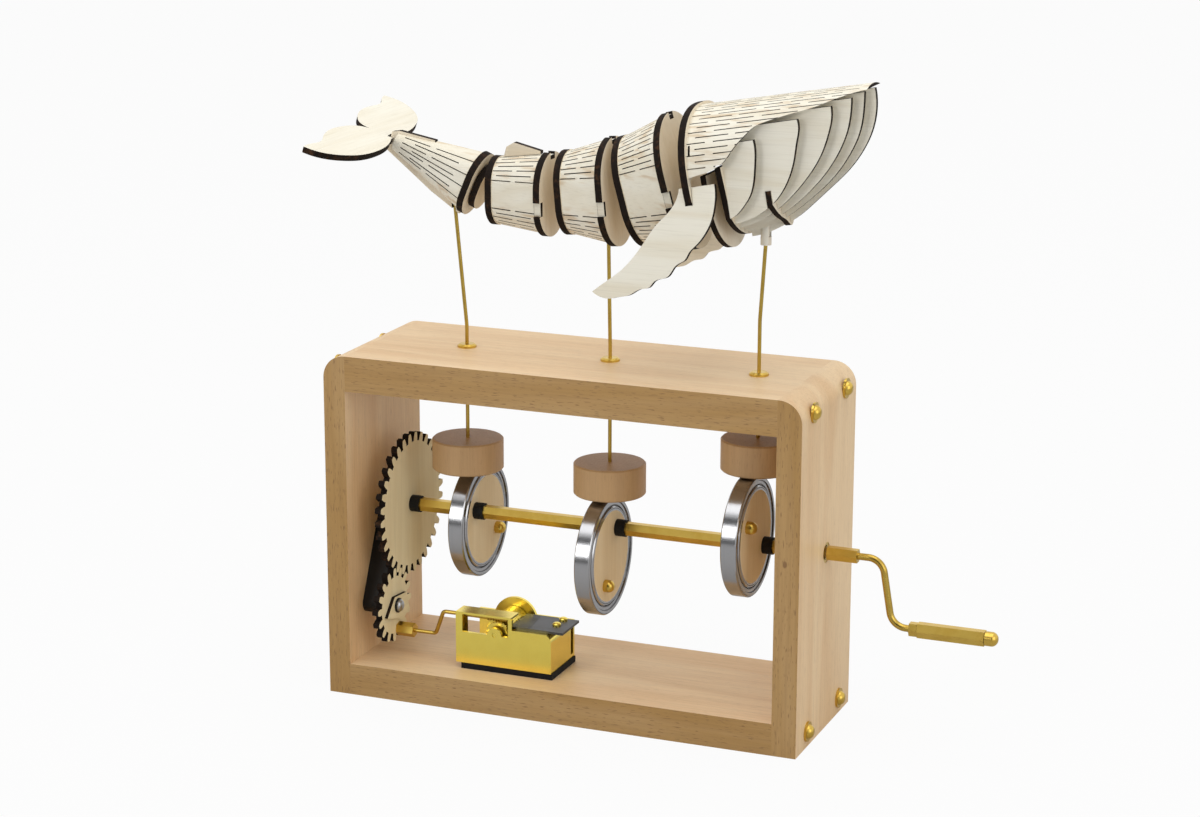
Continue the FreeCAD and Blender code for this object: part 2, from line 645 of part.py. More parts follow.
# Hidden dowels inside the cam discs
for k, (turn, home) in enumerate(zip(link_phases, link_discs), 1):
    owner = body("cam_dowel_%d" % k)
    face = sketch(owner, "YZ_Plane", "-Sizes.dowel_length / 2")
    circle(face, 0, 0, "Sizes.dowel_radius")
    pad(owner, face, "Sizes.dowel_length")
    angle = "(%g * 1)" % turn
    place(owner, x="Sizes.first_rod + %d * Sizes.rod_pitch" % home,
          y="Sizes.eccentric / 2 * cos(%s)" % angle,
          z="Sizes.shaft_height + Sizes.eccentric / 2 * sin(%s)" % angle)

# Followers and push rods
rises = [axle + z + size["bearing_radius"] + size["running_gap"] for _, z in centres]
for k, (x, rise) in enumerate(zip(rods, rises)):
    owner = body("follower_%d" % (k + 1))
    section = sketch(owner, "XZ_Plane")
    wide, tall = size["follower_radius"], size["follower_thick"]
    outline(section, [
        [(0.82, tall), (wide - 0.6, tall)], [(wide - 0.6, tall), (wide, tall - 0.6)],
        [(wide, tall - 0.6), (wide, 0.6)], [(wide, 0.6), (wide - 0.6, 0)], [(wide - 0.6, 0), (0, 0)],
        [(0, 0), (0, 4)], [(0, 4), (0.82, 4)], [(0.82, 4), (0.82, tall)]])
    revolve(owner, section, "V_Axis")
    turn = "(Sizes.first_phase + %d * Sizes.phase_step)" % k
    place(owner, x="Sizes.first_rod + %d * Sizes.rod_pitch" % k,
          z="Sizes.shaft_height + Sizes.eccentric * sin(%s) + Sizes.bearing_radius + Sizes.running_gap" % turn)

rod_routes = [
    [(rods[0], rises[0] + 4.1), (rods[0], 164.4), (-62.9, 220.5)],
    [(rods[1], rises[1] + 4.1), (rods[1], 160.4), (9.0, 214)],
    [(rods[2], rises[2] + 4.1), (rods[2], 178), (79.6, 212.4)]]
for k, route in enumerate(rod_routes):
    wire("push_rod_%d" % (k + 1), "XZ_Plane", route, 30, "Sizes.rod_radius", "XY_Plane",
         str(route[0][1]), (route[0][0], 0))


def rod_slot(owner, route, pitch, spot_x, spot_z):
    """A slot through a lengthwise plate for the top of a rod, open at the plate's lower edge."""
    turn = math.radians(pitch)
    along = V(math.cos(turn), 0, math.sin(turn))
    upward = V(-math.sin(turn), 0, math.cos(turn))
    tip = V(route[2][0], 0, route[2][1])
    way = (tip - V(route[1][0], 0, route[1][1])).normalize()
    beside = V(way.z, 0, -way.x) * (size["rod_radius"] + 0.05)
    ends = [tip + way * 0.1, tip - way * 20]
    corners = [ends[0] - beside, ends[0] + beside, ends[1] + beside, ends[1] - beside]
    offsets = [corner - V(spot_x, 0, spot_z) for corner in corners]
    drawing = sketch(owner, "XZ_Plane")
    polygon(drawing, [(offset.dot(along), offset.dot(upward)) for offset in offsets])
    pocket(owner, drawing, "10", middle=True)


# Whale: skins of thin bent ply over frames cut from ply

def skin(label, length, rear, front, pitch, spot_x, spot_z):
    """A tapered rounded tube, open at both ends."""
    owner = body(label)
    shell = "Sizes.skin_thick"
    for inset, cut in ((0, False), (size["skin_thick"], True)):
        spare = 0.01 if cut else 0
        drawings = []
        for place_u, (radius, flat) in ((-length / 2 - spare, rear), (length / 2 + spare, front)):
            section = sketch(owner, "YZ_Plane", "%g" % place_u)
            stadium(section, radius - inset, flat)
            drawings.append(section)
        loft(owner, drawings, cut)
    place(owner, x="%g" % spot_x, z="%g" % spot_z, axis=(0, -1, 0), angle=pitch)
    return owner


def bulkhead(label, near, radius, flat, pitch, spot_x, spot_z):
    """A plate across the body of the whale."""
    owner = body(label, keep=False)
    section = sketch(owner, "YZ_Plane", "%g" % near)
    stadium(section, radius, flat)
    pad(owner, section, "Sizes.plate_thick")
    place(owner, x="%g" % spot_x, z="%g" % spot_z, axis=(0, -1, 0), angle=pitch)
    return owner


def lengthwise(label, points, pitch, spot_x, spot_z, side=0.0, keep=False, thick="Sizes.plate_thick",
               smooth=False):
    """A plate along the body of the whale, centred on a height beside the middle plane."""
    owner = body(label, keep)
    face = sketch(owner, "XZ_Plane", "%g - %s / 2" % (side, thick))
    if smooth:
        outline(face, points)
    else:
        polygon(face, points)
    pad(owner, face, thick)
    place(owner, x="%g" % spot_x, z="%g" % spot_z, axis=(0, -1, 0), angle=pitch)
    return owner


def slits(owner, bend_height, first, sweep, rows, spans):
    """Narrow cuts along a bent skin, repeated at equal angles about the axis of the bend."""
    drawing = sketch(owner, "XY_Plane", "%g" % bend_height, first)
    half = size["slit_width"] / 2
    for low, high in spans:
        polygon(drawing, box_points(low, high, -half, half))
    cut = pocket(owner, drawing, "Sizes.slit_reach", backward=True)
    polar(owner, cut, drawing, str(rows), sweep, "H_Axis")


def lattice(owner, span, flat, rows):
    """Two staggered sets of slits over each bend of a rounded skin."""
    open_ended = [(-span / 2 - 0.2, -1.1), (1.1, span / 2 + 0.2)]
    middle = [(-span / 2 + 2.0, span / 2 - 2.0)]
    step = 156.0 / (2 * rows)
    for bend, first in ((flat / 2, -78.0), (-flat / 2, 102.0)):
        slits(owner, bend, first, 2 * rows * step, rows + 1, open_ended)
        slits(owner, bend, first + step, 2 * (rows - 1) * step, rows, middle)


def tabs(owner, start, radius, flat, low, high):
    """Stubs of the skin that reach through the plate in front of it: one on each side, one on top."""
    crest = radius + flat / 2
    ring = sketch(owner, "YZ_Plane", "%g" % start)
    stadium(ring, radius - 0.15, flat)
    stadium(ring, radius - size["skin_thick"] + 0.15, flat)
    pad(owner, ring, "Sizes.plate_thick")
    waste = sketch(owner, "YZ_Plane", "%g" % start)
    polygon(waste, box_points(-crest, crest, -crest - 1, low))
    polygon(waste, [(-crest, high), (crest, high), (crest, crest + 1), (2.2, crest + 1), (2.2, high + 1),
                    (-2.2, high + 1), (-2.2, crest + 1), (-crest, crest + 1)])
    pocket(owner, waste, "Sizes.plate_thick + 1", backward=True)


def tab_notches(owner, start, radius, flat, low, high):
    """Notches in a plate's rim for the tabs of the skin behind it."""
    deep = math.sqrt((radius - size["skin_thick"]) ** 2 - max(-flat / 2 - low, 0) ** 2) - 0.1
    crest = radius + flat / 2
    drawing = sketch(owner, "YZ_Plane", "%g" % (start - 1))
    for side in (-1, 1):
        polygon(drawing, box_points(*sorted((side * deep, side * 40)), low - 0.1, high + 0.1))
    polygon(drawing, box_points(-2.3, 2.3, crest - size["skin_thick"] - 0.35, crest + 5))
    pocket(owner, drawing, "Sizes.plate_thick + 2", backward=True)


segments = [
    (27.0, (10.6, 8.0), (13.7, 7.0), "0", -30.1, 225.2, (-7.7, -1.8), 7),
    (23.6, (13.5, 8.7), (17.0, 10.6), "5", 1.55, 227.5, (-8.0, -1.9), 9),
    (25.0, (17.8, 11.5), (22.7, 11.0), "15.5", 32.3, 232.3, (-8.0, -1.4), 12)]
for k, (length, rear, front, pitch, x, z, tab, rows) in enumerate(segments, 1):
    trim = size["plate_thick"]
    inside = length / 2 - trim
    shell = skin("segment_skin_%d" % k, 2 * inside, rear, front, pitch, x, z)
    lattice(shell, 2 * inside, (rear[1] + front[1]) / 2, rows)
    tabs(shell, inside, *front, *tab)
    lip = size["frame_lip"]
    rear_plate = bulkhead("rear_plate_%d" % k, -length / 2, rear[0] + lip / 3, rear[1], pitch, x, z)
    front_plate = bulkhead("front_plate_%d" % k, inside, front[0] + lip, front[1], pitch, x, z)
    tab_notches(front_plate, inside, *front, *tab)
    rear_half = rear[0] + rear[1] / 2 - size["skin_thick"] - 0.3
    front_half = front[0] + front[1] / 2 - size["skin_thick"] - 0.3
    spine = lengthwise("spine_%d" % k, [(-inside, -rear_half), (inside, -front_half), (inside, front_half),
                                        (-inside, rear_half)], pitch, x, z)
    if k == 2:
        rod_slot(spine, rod_routes[1], float(pitch), x, z)
        opening = sketch(shell, "XY_Plane")
        polygon(opening, box_points(3.6, inside + 1, -3.3, 3.3))
        pocket(shell, opening, "40")
    gather("segment_frames_%d" % k, [rear_plate, front_plate, spine])

length, rear, front, pitch, x, z, tab, rows = segments[0]
crest_rear = rear[0] + rear[1] / 2
crest_front = front[0] + front[1] / 2
flank = length / 2 - size["plate_thick"]
slope = (crest_front - crest_rear) / (2 * flank)
lengthwise("dorsal_fin", [(-8.6, crest_rear + slope * (flank - 8.6) + 0.1), (flank - 2.0, crest_front - 0.1),
                          (flank - 2.0, crest_front + 1.2), (-3.9, 21.3), (-7.4, 19.2)],
           "0", x, z, keep=True)

# Tail: tapered skin over a keel, two end plates and the flukes
tail_at = ("Sizes.tail_pitch", -52.2, 227.4)
tail_ends = ((-41.0, (3.6, 1.4)), (-2.0, (10.2, 7.0)))
tail = body("tail_skin")
for inset, cut in ((0, False), (size["skin_thick"] * 0.8, True)):
    spare = 0.01 if cut else 0
    drawings = []
    for (place_u, (radius, flat)), side in zip(tail_ends, (-1, 1)):
        section = sketch(tail, "YZ_Plane", "%g" % (place_u + side * spare))
        stadium(section, radius - inset, flat)
        drawings.append(section)
    loft(tail, drawings, cut)
for outline_points, upward in ((box_points(-50, 5, -1.6, 1.6), False), (box_points(-50, -23.6, -1.6, 1.6), True)):
    slot = sketch(tail, "XY_Plane")
    polygon(slot, outline_points)
    pocket(tail, slot, "30", upward)
for first, second in ((-125.0, -113.0), (35.0, 49.0)):
    slits(tail, 0, first, 90.0, 4, [(-37.0, -24.0), (-21.0, -1.8)])
    slits(tail, 0, second, 64.0, 3, [(-31.0, -8.0)])
place(tail, x="-52.2", z="227.4", axis=(0, -1, 0), angle="Sizes.tail_pitch")
keel = lengthwise("tail_keel_blank", [
    (-44, -4.9), (-30, -8.9), (-18, -12.4), (-2.0, -15.6), (-2.0, 12.0), (-23.8, 6.8), (-24.2, 8.9),
    (-41.0, 5.2), (-44, 3.4)], *tail_at)
rod_slot(keel, rod_routes[0], size["tail_pitch"], *tail_at[1:])
end_plate = bulkhead("tail_end_plate", -2.0, 11.0, 7.0, *tail_at)
small_plate = bulkhead("tail_small_plate", 1.6, 8.0, 4.0, *tail_at)
tie = lengthwise("tail_tie", box_points(1.0, 1.6, -5, 5), *tail_at)
gather("tail_frames", [keel, end_plate, small_plate, tie])
fluke = body("tail_fluke")
face = sketch(fluke, "XY_Plane")
face.AttachmentOffset = FreeCAD.Placement(V(0, 0, 0), FreeCAD.Rotation(V(0, 0, 1), size["fluke_yaw"]))
half_outline = [
    [(3.4, 2.3), (3.4, 5)],
    [(3.4, 5), (5.1, 16), (4.5, 28), (0.9, 42), (-3.6, 49.4), (-10.6, 55.6), (-19.6, 56.5)],
    [(-19.6, 56.5), (-18.9, 50), (-17.0, 42), (-18.6, 33.5), (-19.7, 20.8), (-17.4, 10), (-12.7, 2),
     (-8.4, 0)]]
other_half = [[(u, -v) for u, v in reversed(run)] for run in reversed(half_outline)]
slot_sides = [[(3.4, -2.3), (0.8, -2.3)], [(0.8, -2.3), (0.8, 2.3)], [(0.8, 2.3), (3.4, 2.3)]]
outline(face, half_outline + other_half + slot_sides)
pad(fluke, face, "2.6", backward=True)
place(fluke, x="-94.6", z="246.0", axis=(0, 1, 0), angle="Sizes.fluke_tilt")

# Head: half tube skin with a waved edge, rear plate, nested throat plates, fins
head_at = ("Sizes.head_pitch", 54.5, 242.0)


def half_ellipse(inset, skirt):
    """Runs over the top of the head's section, drawn in by an inset, down to a skirt height."""
    wide = size["head_half_width"] - inset
    tall = size["head_rise"] - inset
    turns = [math.radians(15 * step) for step in range(13)]
    over = [(wide * math.cos(turn), tall * math.sin(turn)) for turn in turns]
    return [[(wide, skirt), (wide, 0)], over, [(-wide, 0), (-wide, skirt)]]


head = body("head_skin")
arch = sketch(head, "YZ_Plane", "0.9")
outer = half_ellipse(0, -3)
inner = [run[::-1] for run in half_ellipse(size["skin_thick"], -3)[::-1]]
outline(arch, outer + [[outer[-1][-1], inner[0][0]]] + inner + [[inner[-1][-1], outer[0][0]]])
pad(head, arch, "74.4")
wave = sketch(head, "XZ_Plane")
outline(wave, [
    [(-1, -1.2), (1, -0.6), (8, 0.7), (13.7, 2.5), (17.1, 4.6), (19.9, 7.6), (23.1, 11.0), (26.1, 13.6),
     (29.4, 16.1), (33.3, 17.5), (39.3, 18.6), (47.3, 19.8), (55.2, 20.9), (59.8, 22.0), (64.4, 23.0),
     (68.2, 23.7), (73.0, 24.3), (80, 24.8)], [(80, 24.8), (80, -8)], [(80, -8), (-1, -8)], [(-1, -8), (-1, -1.2)]])
pocket(head, wave, "60", middle=True)
slits(head, 0, -84.0, 168.0, 17, [(0.5, 9.0), (12.5, 29.0), (32.5, 48.0), (51.5, 65.0)])
slits(head, 0, -78.75, 157.5, 16, [(4.5, 19.0), (22.0, 40.0), (43.5, 58.0), (61.0, 71.5)])
eyelet = sketch(head, "XZ_Plane")
polygon(eyelet, box_points(1.6, 2.5, 8.2, 12.2))
pocket(head, eyelet, "70", middle=True)
place(head, x="54.5", z="242", axis=(0, -1, 0), angle="Sizes.head_pitch")


def head_plate(label, start, runs, thick):
    """A plate across the head, from a place along its axis."""
    owner = body(label, keep=False)
    section = sketch(owner, "YZ_Plane", "%g" % start)
    outline(section, runs)
    pad(owner, section, thick)
    place(owner, x="54.5", z="242", axis=(0, -1, 0), angle="Sizes.head_pitch")
    return owner


rim = [(28.8, -11.8), (30.0, -7.0), (30.3, -2.0), (30.0, 5.0), (28.6, 10.2), (26.3, 14.8), (21.0, 20.9),
       (13.5, 25.0), (7.0, 26.6), (0, 27.0)]
mirrored = [(-u, v) for u, v in reversed(rim)]
rear_arch = head_plate("head_rear_plate", -2.1, [
    rim + mirrored[1:], [(-28.8, -11.8), (-26.2, -11.8)],
    [(-26.2, -11.8), (-27.3, -2.0)], [(-27.3, -2.0), (-22, -0.8)], [(-22, -0.8), (22, -0.8)],
    [(22, -0.8), (27.3, -2.0)], [(27.3, -2.0), (26.2, -11.8)], [(26.2, -11.8), (28.8, -11.8)]],
    "Sizes.plate_thick")
round_plate = head_plate("head_round_plate", 4.0, [
    [(23.6, -1), (23.6, -11)], [(23.6, -11), (0, -34.6), (-23.6, -11)], [(-23.6, -11), (-23.6, -1)],
    [(-23.6, -1), (23.6, -1)]], "Sizes.throat_thick")
cross_plate = head_plate("head_cross_plate", 11.8, [
    [(26.4, 2), (22.4, -20)], [(22.4, -20), (14, -26.2), (0, -29.6), (-14, -26.2), (-22.4, -20)],
    [(-22.4, -20), (-26.4, 2)], [(-26.4, 2), (26.4, 2)]], "Sizes.throat_thick")
tie_plate = lengthwise("head_tie_plate", box_points(0.9, 4.0, -16, -6), *head_at)
mid_plate = lengthwise("head_mid_plate", box_points(6.5, 11.8, -22, -4), *head_at)

back = 14.3
fronts = [
    [(76.0, 23.9), (75.3, 15.4), (71.6, 5.6), (66.0, -2.2), (59.4, -8.6), (51.4, -14.4), (41.8, -21.0),
     (35.0, -25.2), (28.3, -28.0), (22.0, -30.0), (back, -31.0)],
    [(72.8, 23.2), (71.2, 15.6), (68.4, 7.4), (63.0, -1.0), (54.8, -9.6), (42.9, -18.0), (30.0, -24.8),
     (back, -28.2)],
    [(68.4, 21.8), (67.2, 16.0), (65.2, 10.0), (60.6, 1.8), (53.6, -6.6), (43.0, -15.4), (31.5, -22.2),
     (back, -26.9)],
    [(60.8, 20.0), (60.2, 14.8), (58.0, 9.0), (53.4, 0.6), (46.0, -8.0), (38.0, -15.0), (30.0, -20.2),
     (back, -25.0)],
    [(47.3, 16.9), (47.0, 11.6), (45.6, 7.6), (43.6, 1.2), (39.4, -7.6), (34.0, -14.2), (26.6, -19.2),
     (back, -22.6)],
    [(29.0, 11.2), (29.0, 6.0), (28.2, 1.6), (26.4, -6.0), (24.0, -11.4), (20.6, -15.4), (17.4, -18.2),
     (back, -19.6)]]
tops = [(back, 23.9), (back, 23.2), (back, 21.8), (back, 19.9), (back, 16.4), (back, 11.0)]
cradle_at, cradle_thick = 29.4, 2.5
cradle_rows = []
throats = []
for k, front_curve in enumerate(fronts):
    last = front_curve[-1]
    runs = [front_curve, [last, tops[k]], [tops[k], front_curve[0]]]
    low = [point for point in front_curve if point[0] < cradle_at + 8][0]
    for side in ((1, -1) if k else (1,)):
        plate = lengthwise("throat_%d_%s" % (k, "near" if side > 0 else "far"), runs, *head_at,
                           side=side * k * size["throat_step"], thick="Sizes.throat_thick", smooth=True)
        if k < 5:
            floor = (-27.6, -25.1, -23.0, -20.6, -17.2)[k]
            lap = sketch(plate, "XZ_Plane")
            polygon(lap, box_points(cradle_at - 0.1, cradle_at + cradle_thick + 0.1, floor - 6, floor + 3.0))
            pocket(plate, lap, "80", middle=True)
            cradle_rows.append((side * k * size["throat_step"], floor))
        throats.append(plate)
gather("throat_plates", throats)
cradle_rows.sort()
lower = [(u, v - 0.6) for u, v in cradle_rows]
cradle = head_plate("head_cradle", cradle_at, [
    [(-19.6, -16.4)] + lower + [(19.6, -16.4)], [(19.6, -16.4), (19.6, -10.6)],
    [(19.6, -10.6)] + [(u, v + 6.0) for u, v in reversed(cradle_rows)] + [(-19.6, -10.6)],
    [(-19.6, -10.6), (-19.6, -16.4)]], str(cradle_thick))
laps = sketch(cradle, "YZ_Plane", "%g" % (cradle_at - 1))
for u, v in cradle_rows:
    polygon(laps, box_points(u - 1.35, u + 1.35, v + 2.9, v + 12))
pocket(cradle, laps, "5", backward=True)
gather("head_frames", [rear_arch, tie_plate, round_plate, mid_plate, cross_plate, cradle])

socket = body("head_socket")
face = sketch(socket, "XY_Plane", "210.6")
circle(face, 79.6, 0, "2.3")
pad(socket, face, "9")
slot = sketch(socket, "XY_Plane", "214")
polygon(slot, box_points(70, 90, -1.3, 1.3))
pocket(socket, slot, "8", backward=True)
drilled(socket, "XY_Plane", [(79.6, 0, "0.85")], "2", "212.6")

fin = body("fin_blank", keep=False)
fin_plane = 25.0
face = sketch(fin, "XZ_Plane", "%g" % fin_plane)
outline(face, [
    [(-4.4, -4.9), (-2.3, -4.9)], [(-2.3, -4.9), (-2.3, -12.3)], [(-2.3, -12.3), (1.1, -12.3)],
    [(1.1, -12.3), (1.1, -4.9)], [(1.1, -4.9), (11.2, -4.6)],
    [(11.2, -4.6), (11.3, -7.4), (10.4, -13.2), (8.1, -19.8), (5.0, -24.4), (0.3, -28.9), (-2.6, -31.2),
     (-5.1, -34.3), (-7.4, -35.2), (-10.1, -37.0), (-13.1, -40.2), (-17.0, -40.9), (-19.2, -41.6),
     (-21.6, -43.7), (-25.9, -44.2), (-30.5, -46.0), (-35.9, -46.5), (-40.3, -46.7), (-44.0, -45.6),
     (-47.3, -43.1)],
    [(-47.3, -43.1), (-41.2, -39.8), (-34.8, -36.4), (-27.8, -31.1), (-21.7, -24.8), (-15.6, -18.4),
     (-9.8, -13.9), (-5.6, -8.6), (-4.4, -4.9)]])
pad(fin, face, "2.2")
doc.recompute()
lean = FreeCAD.Placement(V(0, 0, 0), FreeCAD.Rotation(V(1, 0, 0), -9.0))
tilt = FreeCAD.Placement(V(54.5, 0, 242), FreeCAD.Rotation(V(0, -1, 0), size["head_pitch"]))
hinge = FreeCAD.Placement(V(0, -fin_plane, 0), FreeCAD.Rotation())
near_fin = tilt.multiply(hinge.multiply(lean.multiply(hinge.inverse())))
near = doc.addObject("Part::Feature", "fin_near")
near.Shape = fin.Shape.transformed(near_fin.toMatrix())
far = doc.addObject("Part::Mirroring", "fin_far")
far.Source = near
far.Normal = V(0, 1, 0)
gather("pectoral_fins", [near, far])

# Every piece must be sound before any is written
doc.recompute()
for thing in doc.Objects:
    if "Invalid" in thing.State or "Error" in thing.State:
        raise RuntimeError("%s failed: %s" % (thing.Label, thing.State))
os.makedirs("parts", exist_ok=True)
for node in nodes:
    if node.Shape.isNull() or not node.Shape.isValid():
        raise RuntimeError("%s has no sound shape" % node.Label)
for node in nodes:
    node.Shape.exportStep("parts/%s.step" % node.Label)
print(len(nodes), "pieces written")
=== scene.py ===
import math

import bpy
import numpy as np
from bpy.props import FloatProperty, FloatVectorProperty, IntProperty, PointerProperty
from mathutils import Matrix, Vector


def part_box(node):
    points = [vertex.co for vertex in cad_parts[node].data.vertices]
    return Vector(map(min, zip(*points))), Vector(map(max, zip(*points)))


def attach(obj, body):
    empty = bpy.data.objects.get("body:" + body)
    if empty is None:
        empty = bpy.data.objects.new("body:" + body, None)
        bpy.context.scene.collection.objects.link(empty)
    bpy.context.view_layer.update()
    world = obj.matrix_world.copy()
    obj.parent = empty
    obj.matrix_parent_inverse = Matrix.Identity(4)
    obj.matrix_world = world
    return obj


bl_info = {
    "name": "Whale Automaton",
    "version": (1, 0, 0),
    "blender": (4, 5, 0),
    "location": "3D View > Sidebar > Automaton",
    "description": "Finishes, fine pieces and studio for a wooden crank automaton",
    "category": "Object",
}

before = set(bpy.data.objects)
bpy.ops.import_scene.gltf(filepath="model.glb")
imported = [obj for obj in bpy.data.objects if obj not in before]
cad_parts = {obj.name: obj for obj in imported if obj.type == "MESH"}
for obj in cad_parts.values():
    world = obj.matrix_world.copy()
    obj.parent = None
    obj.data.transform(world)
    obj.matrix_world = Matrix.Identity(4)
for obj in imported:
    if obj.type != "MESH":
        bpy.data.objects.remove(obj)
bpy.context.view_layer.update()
MM = 0.001

# The axis that a grain or the lines of drawn metal follow, and the directions of the three
X, Y, Z = range(3)
AXES = ((1, 0, 0), (0, 1, 0), (0, 0, 1))

# Cosines of a surface with a direction, from where a mask is 0 to where it is 1
SQUARE_ON = (0.6, 0.85)
PLATE_CUT = (0.75, 0.55)
SKIN_CUT = (0.72, 0.55)

# The knot in the right panel: its place and its size each way
KNOT = (0.1028, -0.0374, 0.0848)
KNOT_SIZE = (0.0012, 0.003, 0.0019)

# Eased edges of the boards
ARRIS = 0.00035
WELD_DISTANCE = 0.000001

# Turned grooves of a race: radians for each millimetre of radius, their phase, and how far before
# its centre along the shaft a ring's own pattern takes over
GROOVE_TURN = 4.19
GROOVE_PHASE = 1.96
RING_STARTS = 0.03
RING_BLEND = 0.001

# The comb's teeth along Y, and the pins under them, in millimetres
TEETH = 18
COMB_WIDTH = 19.0
COMB_START = -21
CYLINDER_MARGIN = 0.5
PIN_SUNK = 0.1
PIN_SIDES = 6
PIN_TAPER = 0.8
PIN_SCATTER = 0.381
ROW_TURN = 0.73

# Plates and flat pieces of the whale
PLATE = 3.0
FLUKE_TILT = 16.9
TAIL_SKIN = (78.0, -4.2, 7.0)
TAIL_FRAMES = (-90.0, -2.0)

# Studio, in metres and degrees
WHITE = (1, 1, 1)
FLOOR_HALF = 6.0
FLOOR_LEVEL = -0.00005
FLOOR_GLOW = 0.94
CAMERA_PLACE = (0.4535, -1.11609, 0.44736)
CAMERA_AIM = (0.00536, 0.0, 0.13272)
CAMERA_ROLL = 0.142
SENSOR = 36.0
FAR_CLIP = 50.0


def colour(name, description, default):
    return FloatVectorProperty(name=name, description=description, default=default,
                               subtype="COLOR", size=3, min=0.0, max=1.0)


def length(name, description, default):
    return FloatProperty(name=name, description=description, default=default, unit="LENGTH")


def power(name, description, default):
    return FloatProperty(name=name, description=description, default=default, subtype="POWER")


class AutomatonColours(bpy.types.PropertyGroup):
    """Colours of the finishes."""

    beech: colour("Beech", "Growth bands of the box boards", (0.77, 0.51, 0.265))
    beech_light: colour("Beech light", "Pale tone between the growth bands", (0.86, 0.63, 0.37))
    # The narrow faces' tone: partly their browner edge grain, partly painted shade on less lit
    # faces
    beech_edge_and_shade: colour("Beech edge", "Narrow faces of the boards", (0.44, 0.25, 0.075))
    fleck: colour("Fleck", "Short dark rays in the beech", (0.20, 0.095, 0.035))
    disc: colour("Disc wood", "Faces of the cam discs", (0.86, 0.70, 0.45))
    follower: colour("Follower wood", "Turned follower discs", (0.60, 0.37, 0.17))
    ply: colour("Whale ply", "Face veneer of the whale", (0.90, 0.86, 0.74))
    inner_ply: colour("Inner ply", "Face veneer of the plates across the whale", (0.84, 0.75, 0.60))
    gear_ply: colour("Gear ply", "Face veneer of the gears", (0.86, 0.74, 0.47))
    burnt: colour("Burnt edge", "Edge left by the laser", (0.010, 0.006, 0.004))
    scorched: colour("Scorched veneer", "Smoke stain beside the slits", (0.56, 0.36, 0.16))
    toasted: colour("Toasted edge", "Browner specks in the burnt edge", (0.075, 0.034, 0.014))
    brass: colour("Brass", "Turned and drawn brass", (0.68, 0.47, 0.10))
    gold: colour("Gold", "Plating of the music movement", (0.95, 0.76, 0.15))
    steel: colour("Steel", "Ground rings of the ball races", (0.42, 0.42, 0.43))
    black: colour("Black", "Rubber, pad and painted bracket", (0.005, 0.005, 0.005))


class AutomatonSizes(bpy.types.PropertyGroup):
    """Sizes of the fine pieces made here."""

    pin_radius: length("Pin radius", "Radius of a pin on the music cylinder", 0.00022)
    pin_height: length("Pin height", "Height of a pin above the cylinder", 0.00045)
    pins: IntProperty(name="Pins", description="Pins in each row round the cylinder", default=17,
                      min=1)


class AutomatonStudio(bpy.types.PropertyGroup):
    """Studio light and lens."""

    key: power("Key", "Power of the softbox overhead", 7.4)
    side: power("Side", "Power of the softbox on the right", 4.2)
    front: power("Front", "Power of the softbox at the front left", 8.0)
    fill: FloatProperty(name="Fill", description="Strength of the even light all round",
                        default=0.68)
    lens: FloatProperty(name="Lens", description="Focal length of the camera", default=86.28,
                        unit="CAMERA")


# Materials: an expression on values adds the nodes that work it out

class Term:
    """A socket's value in a graph of nodes; arithmetic on it adds Math nodes."""

    def __init__(self, graph, socket):
        self.graph = graph
        self.socket = socket

    def maths(self, operation, *others):
        return self.graph.maths(operation, self, *others)

    def __add__(self, other):
        return self.maths("ADD", other)

    def __radd__(self, other):
        return self.graph.maths("ADD", other, self)

    def __sub__(self, other):
        return self.maths("SUBTRACT", other)

    def __rsub__(self, other):
        return self.graph.maths("SUBTRACT", other, self)

    def __mul__(self, other):
        return self.maths("MULTIPLY", other)

    def __rmul__(self, other):
        return self.graph.maths("MULTIPLY", other, self)

    def __truediv__(self, other):
        return self.maths("DIVIDE", other)

    def __rtruediv__(self, other):
        return self.graph.maths("DIVIDE", other, self)

    def __abs__(self):
        return self.maths("ABSOLUTE")

    def step(self, low, high):
        """0 below low, 1 above high, smooth between; low may be above high for the opposite."""
        return self.graph.add("ShaderNodeMapRange", {"interpolation_type": "SMOOTHSTEP"},
                              {"Value": self, "From Min": low, "From Max": high})


class Graph:
    """The nodes of a material or of the world, under construction."""

    def __init__(self, owner, output):
        owner.use_nodes = True
        self.tree = owner.node_tree
        self.tree.nodes.clear()
        self.output = self.tree.nodes.new(output)

    def put(self, socket, value):
        """Link a term to a socket, or set the socket's own value."""
        if isinstance(value, Term):
            self.tree.links.new(value.socket, socket)
        elif socket.type == "RGBA" and len(value) == 3:
            socket.default_value = (*value, 1.0)
        else:
            socket.default_value = value

    def add(self, kind, settings=None, values=None, output=0):
        """A node of a type, its settings first, then the values or links of its sockets."""
        node = self.tree.nodes.new(kind)
        for name, value in (settings or {}).items():
            setattr(node, name, value)
        for name, value in (values or {}).items():
            self.put(node.inputs[name], value)
        return Term(self, node.outputs[output])

    def maths(self, operation, *parts):
        return self.add("ShaderNodeMath", {"operation": operation}, dict(enumerate(parts)))

    def seen_by(self, *rays):
        """1 for the given kinds of ray and 0 for the rest."""
        seen = [self.add("ShaderNodeLightPath", output=ray) for ray in rays]
        total = seen[0]
        for part in seen[1:]:
            total = total.maths("MAXIMUM", part)
        return total


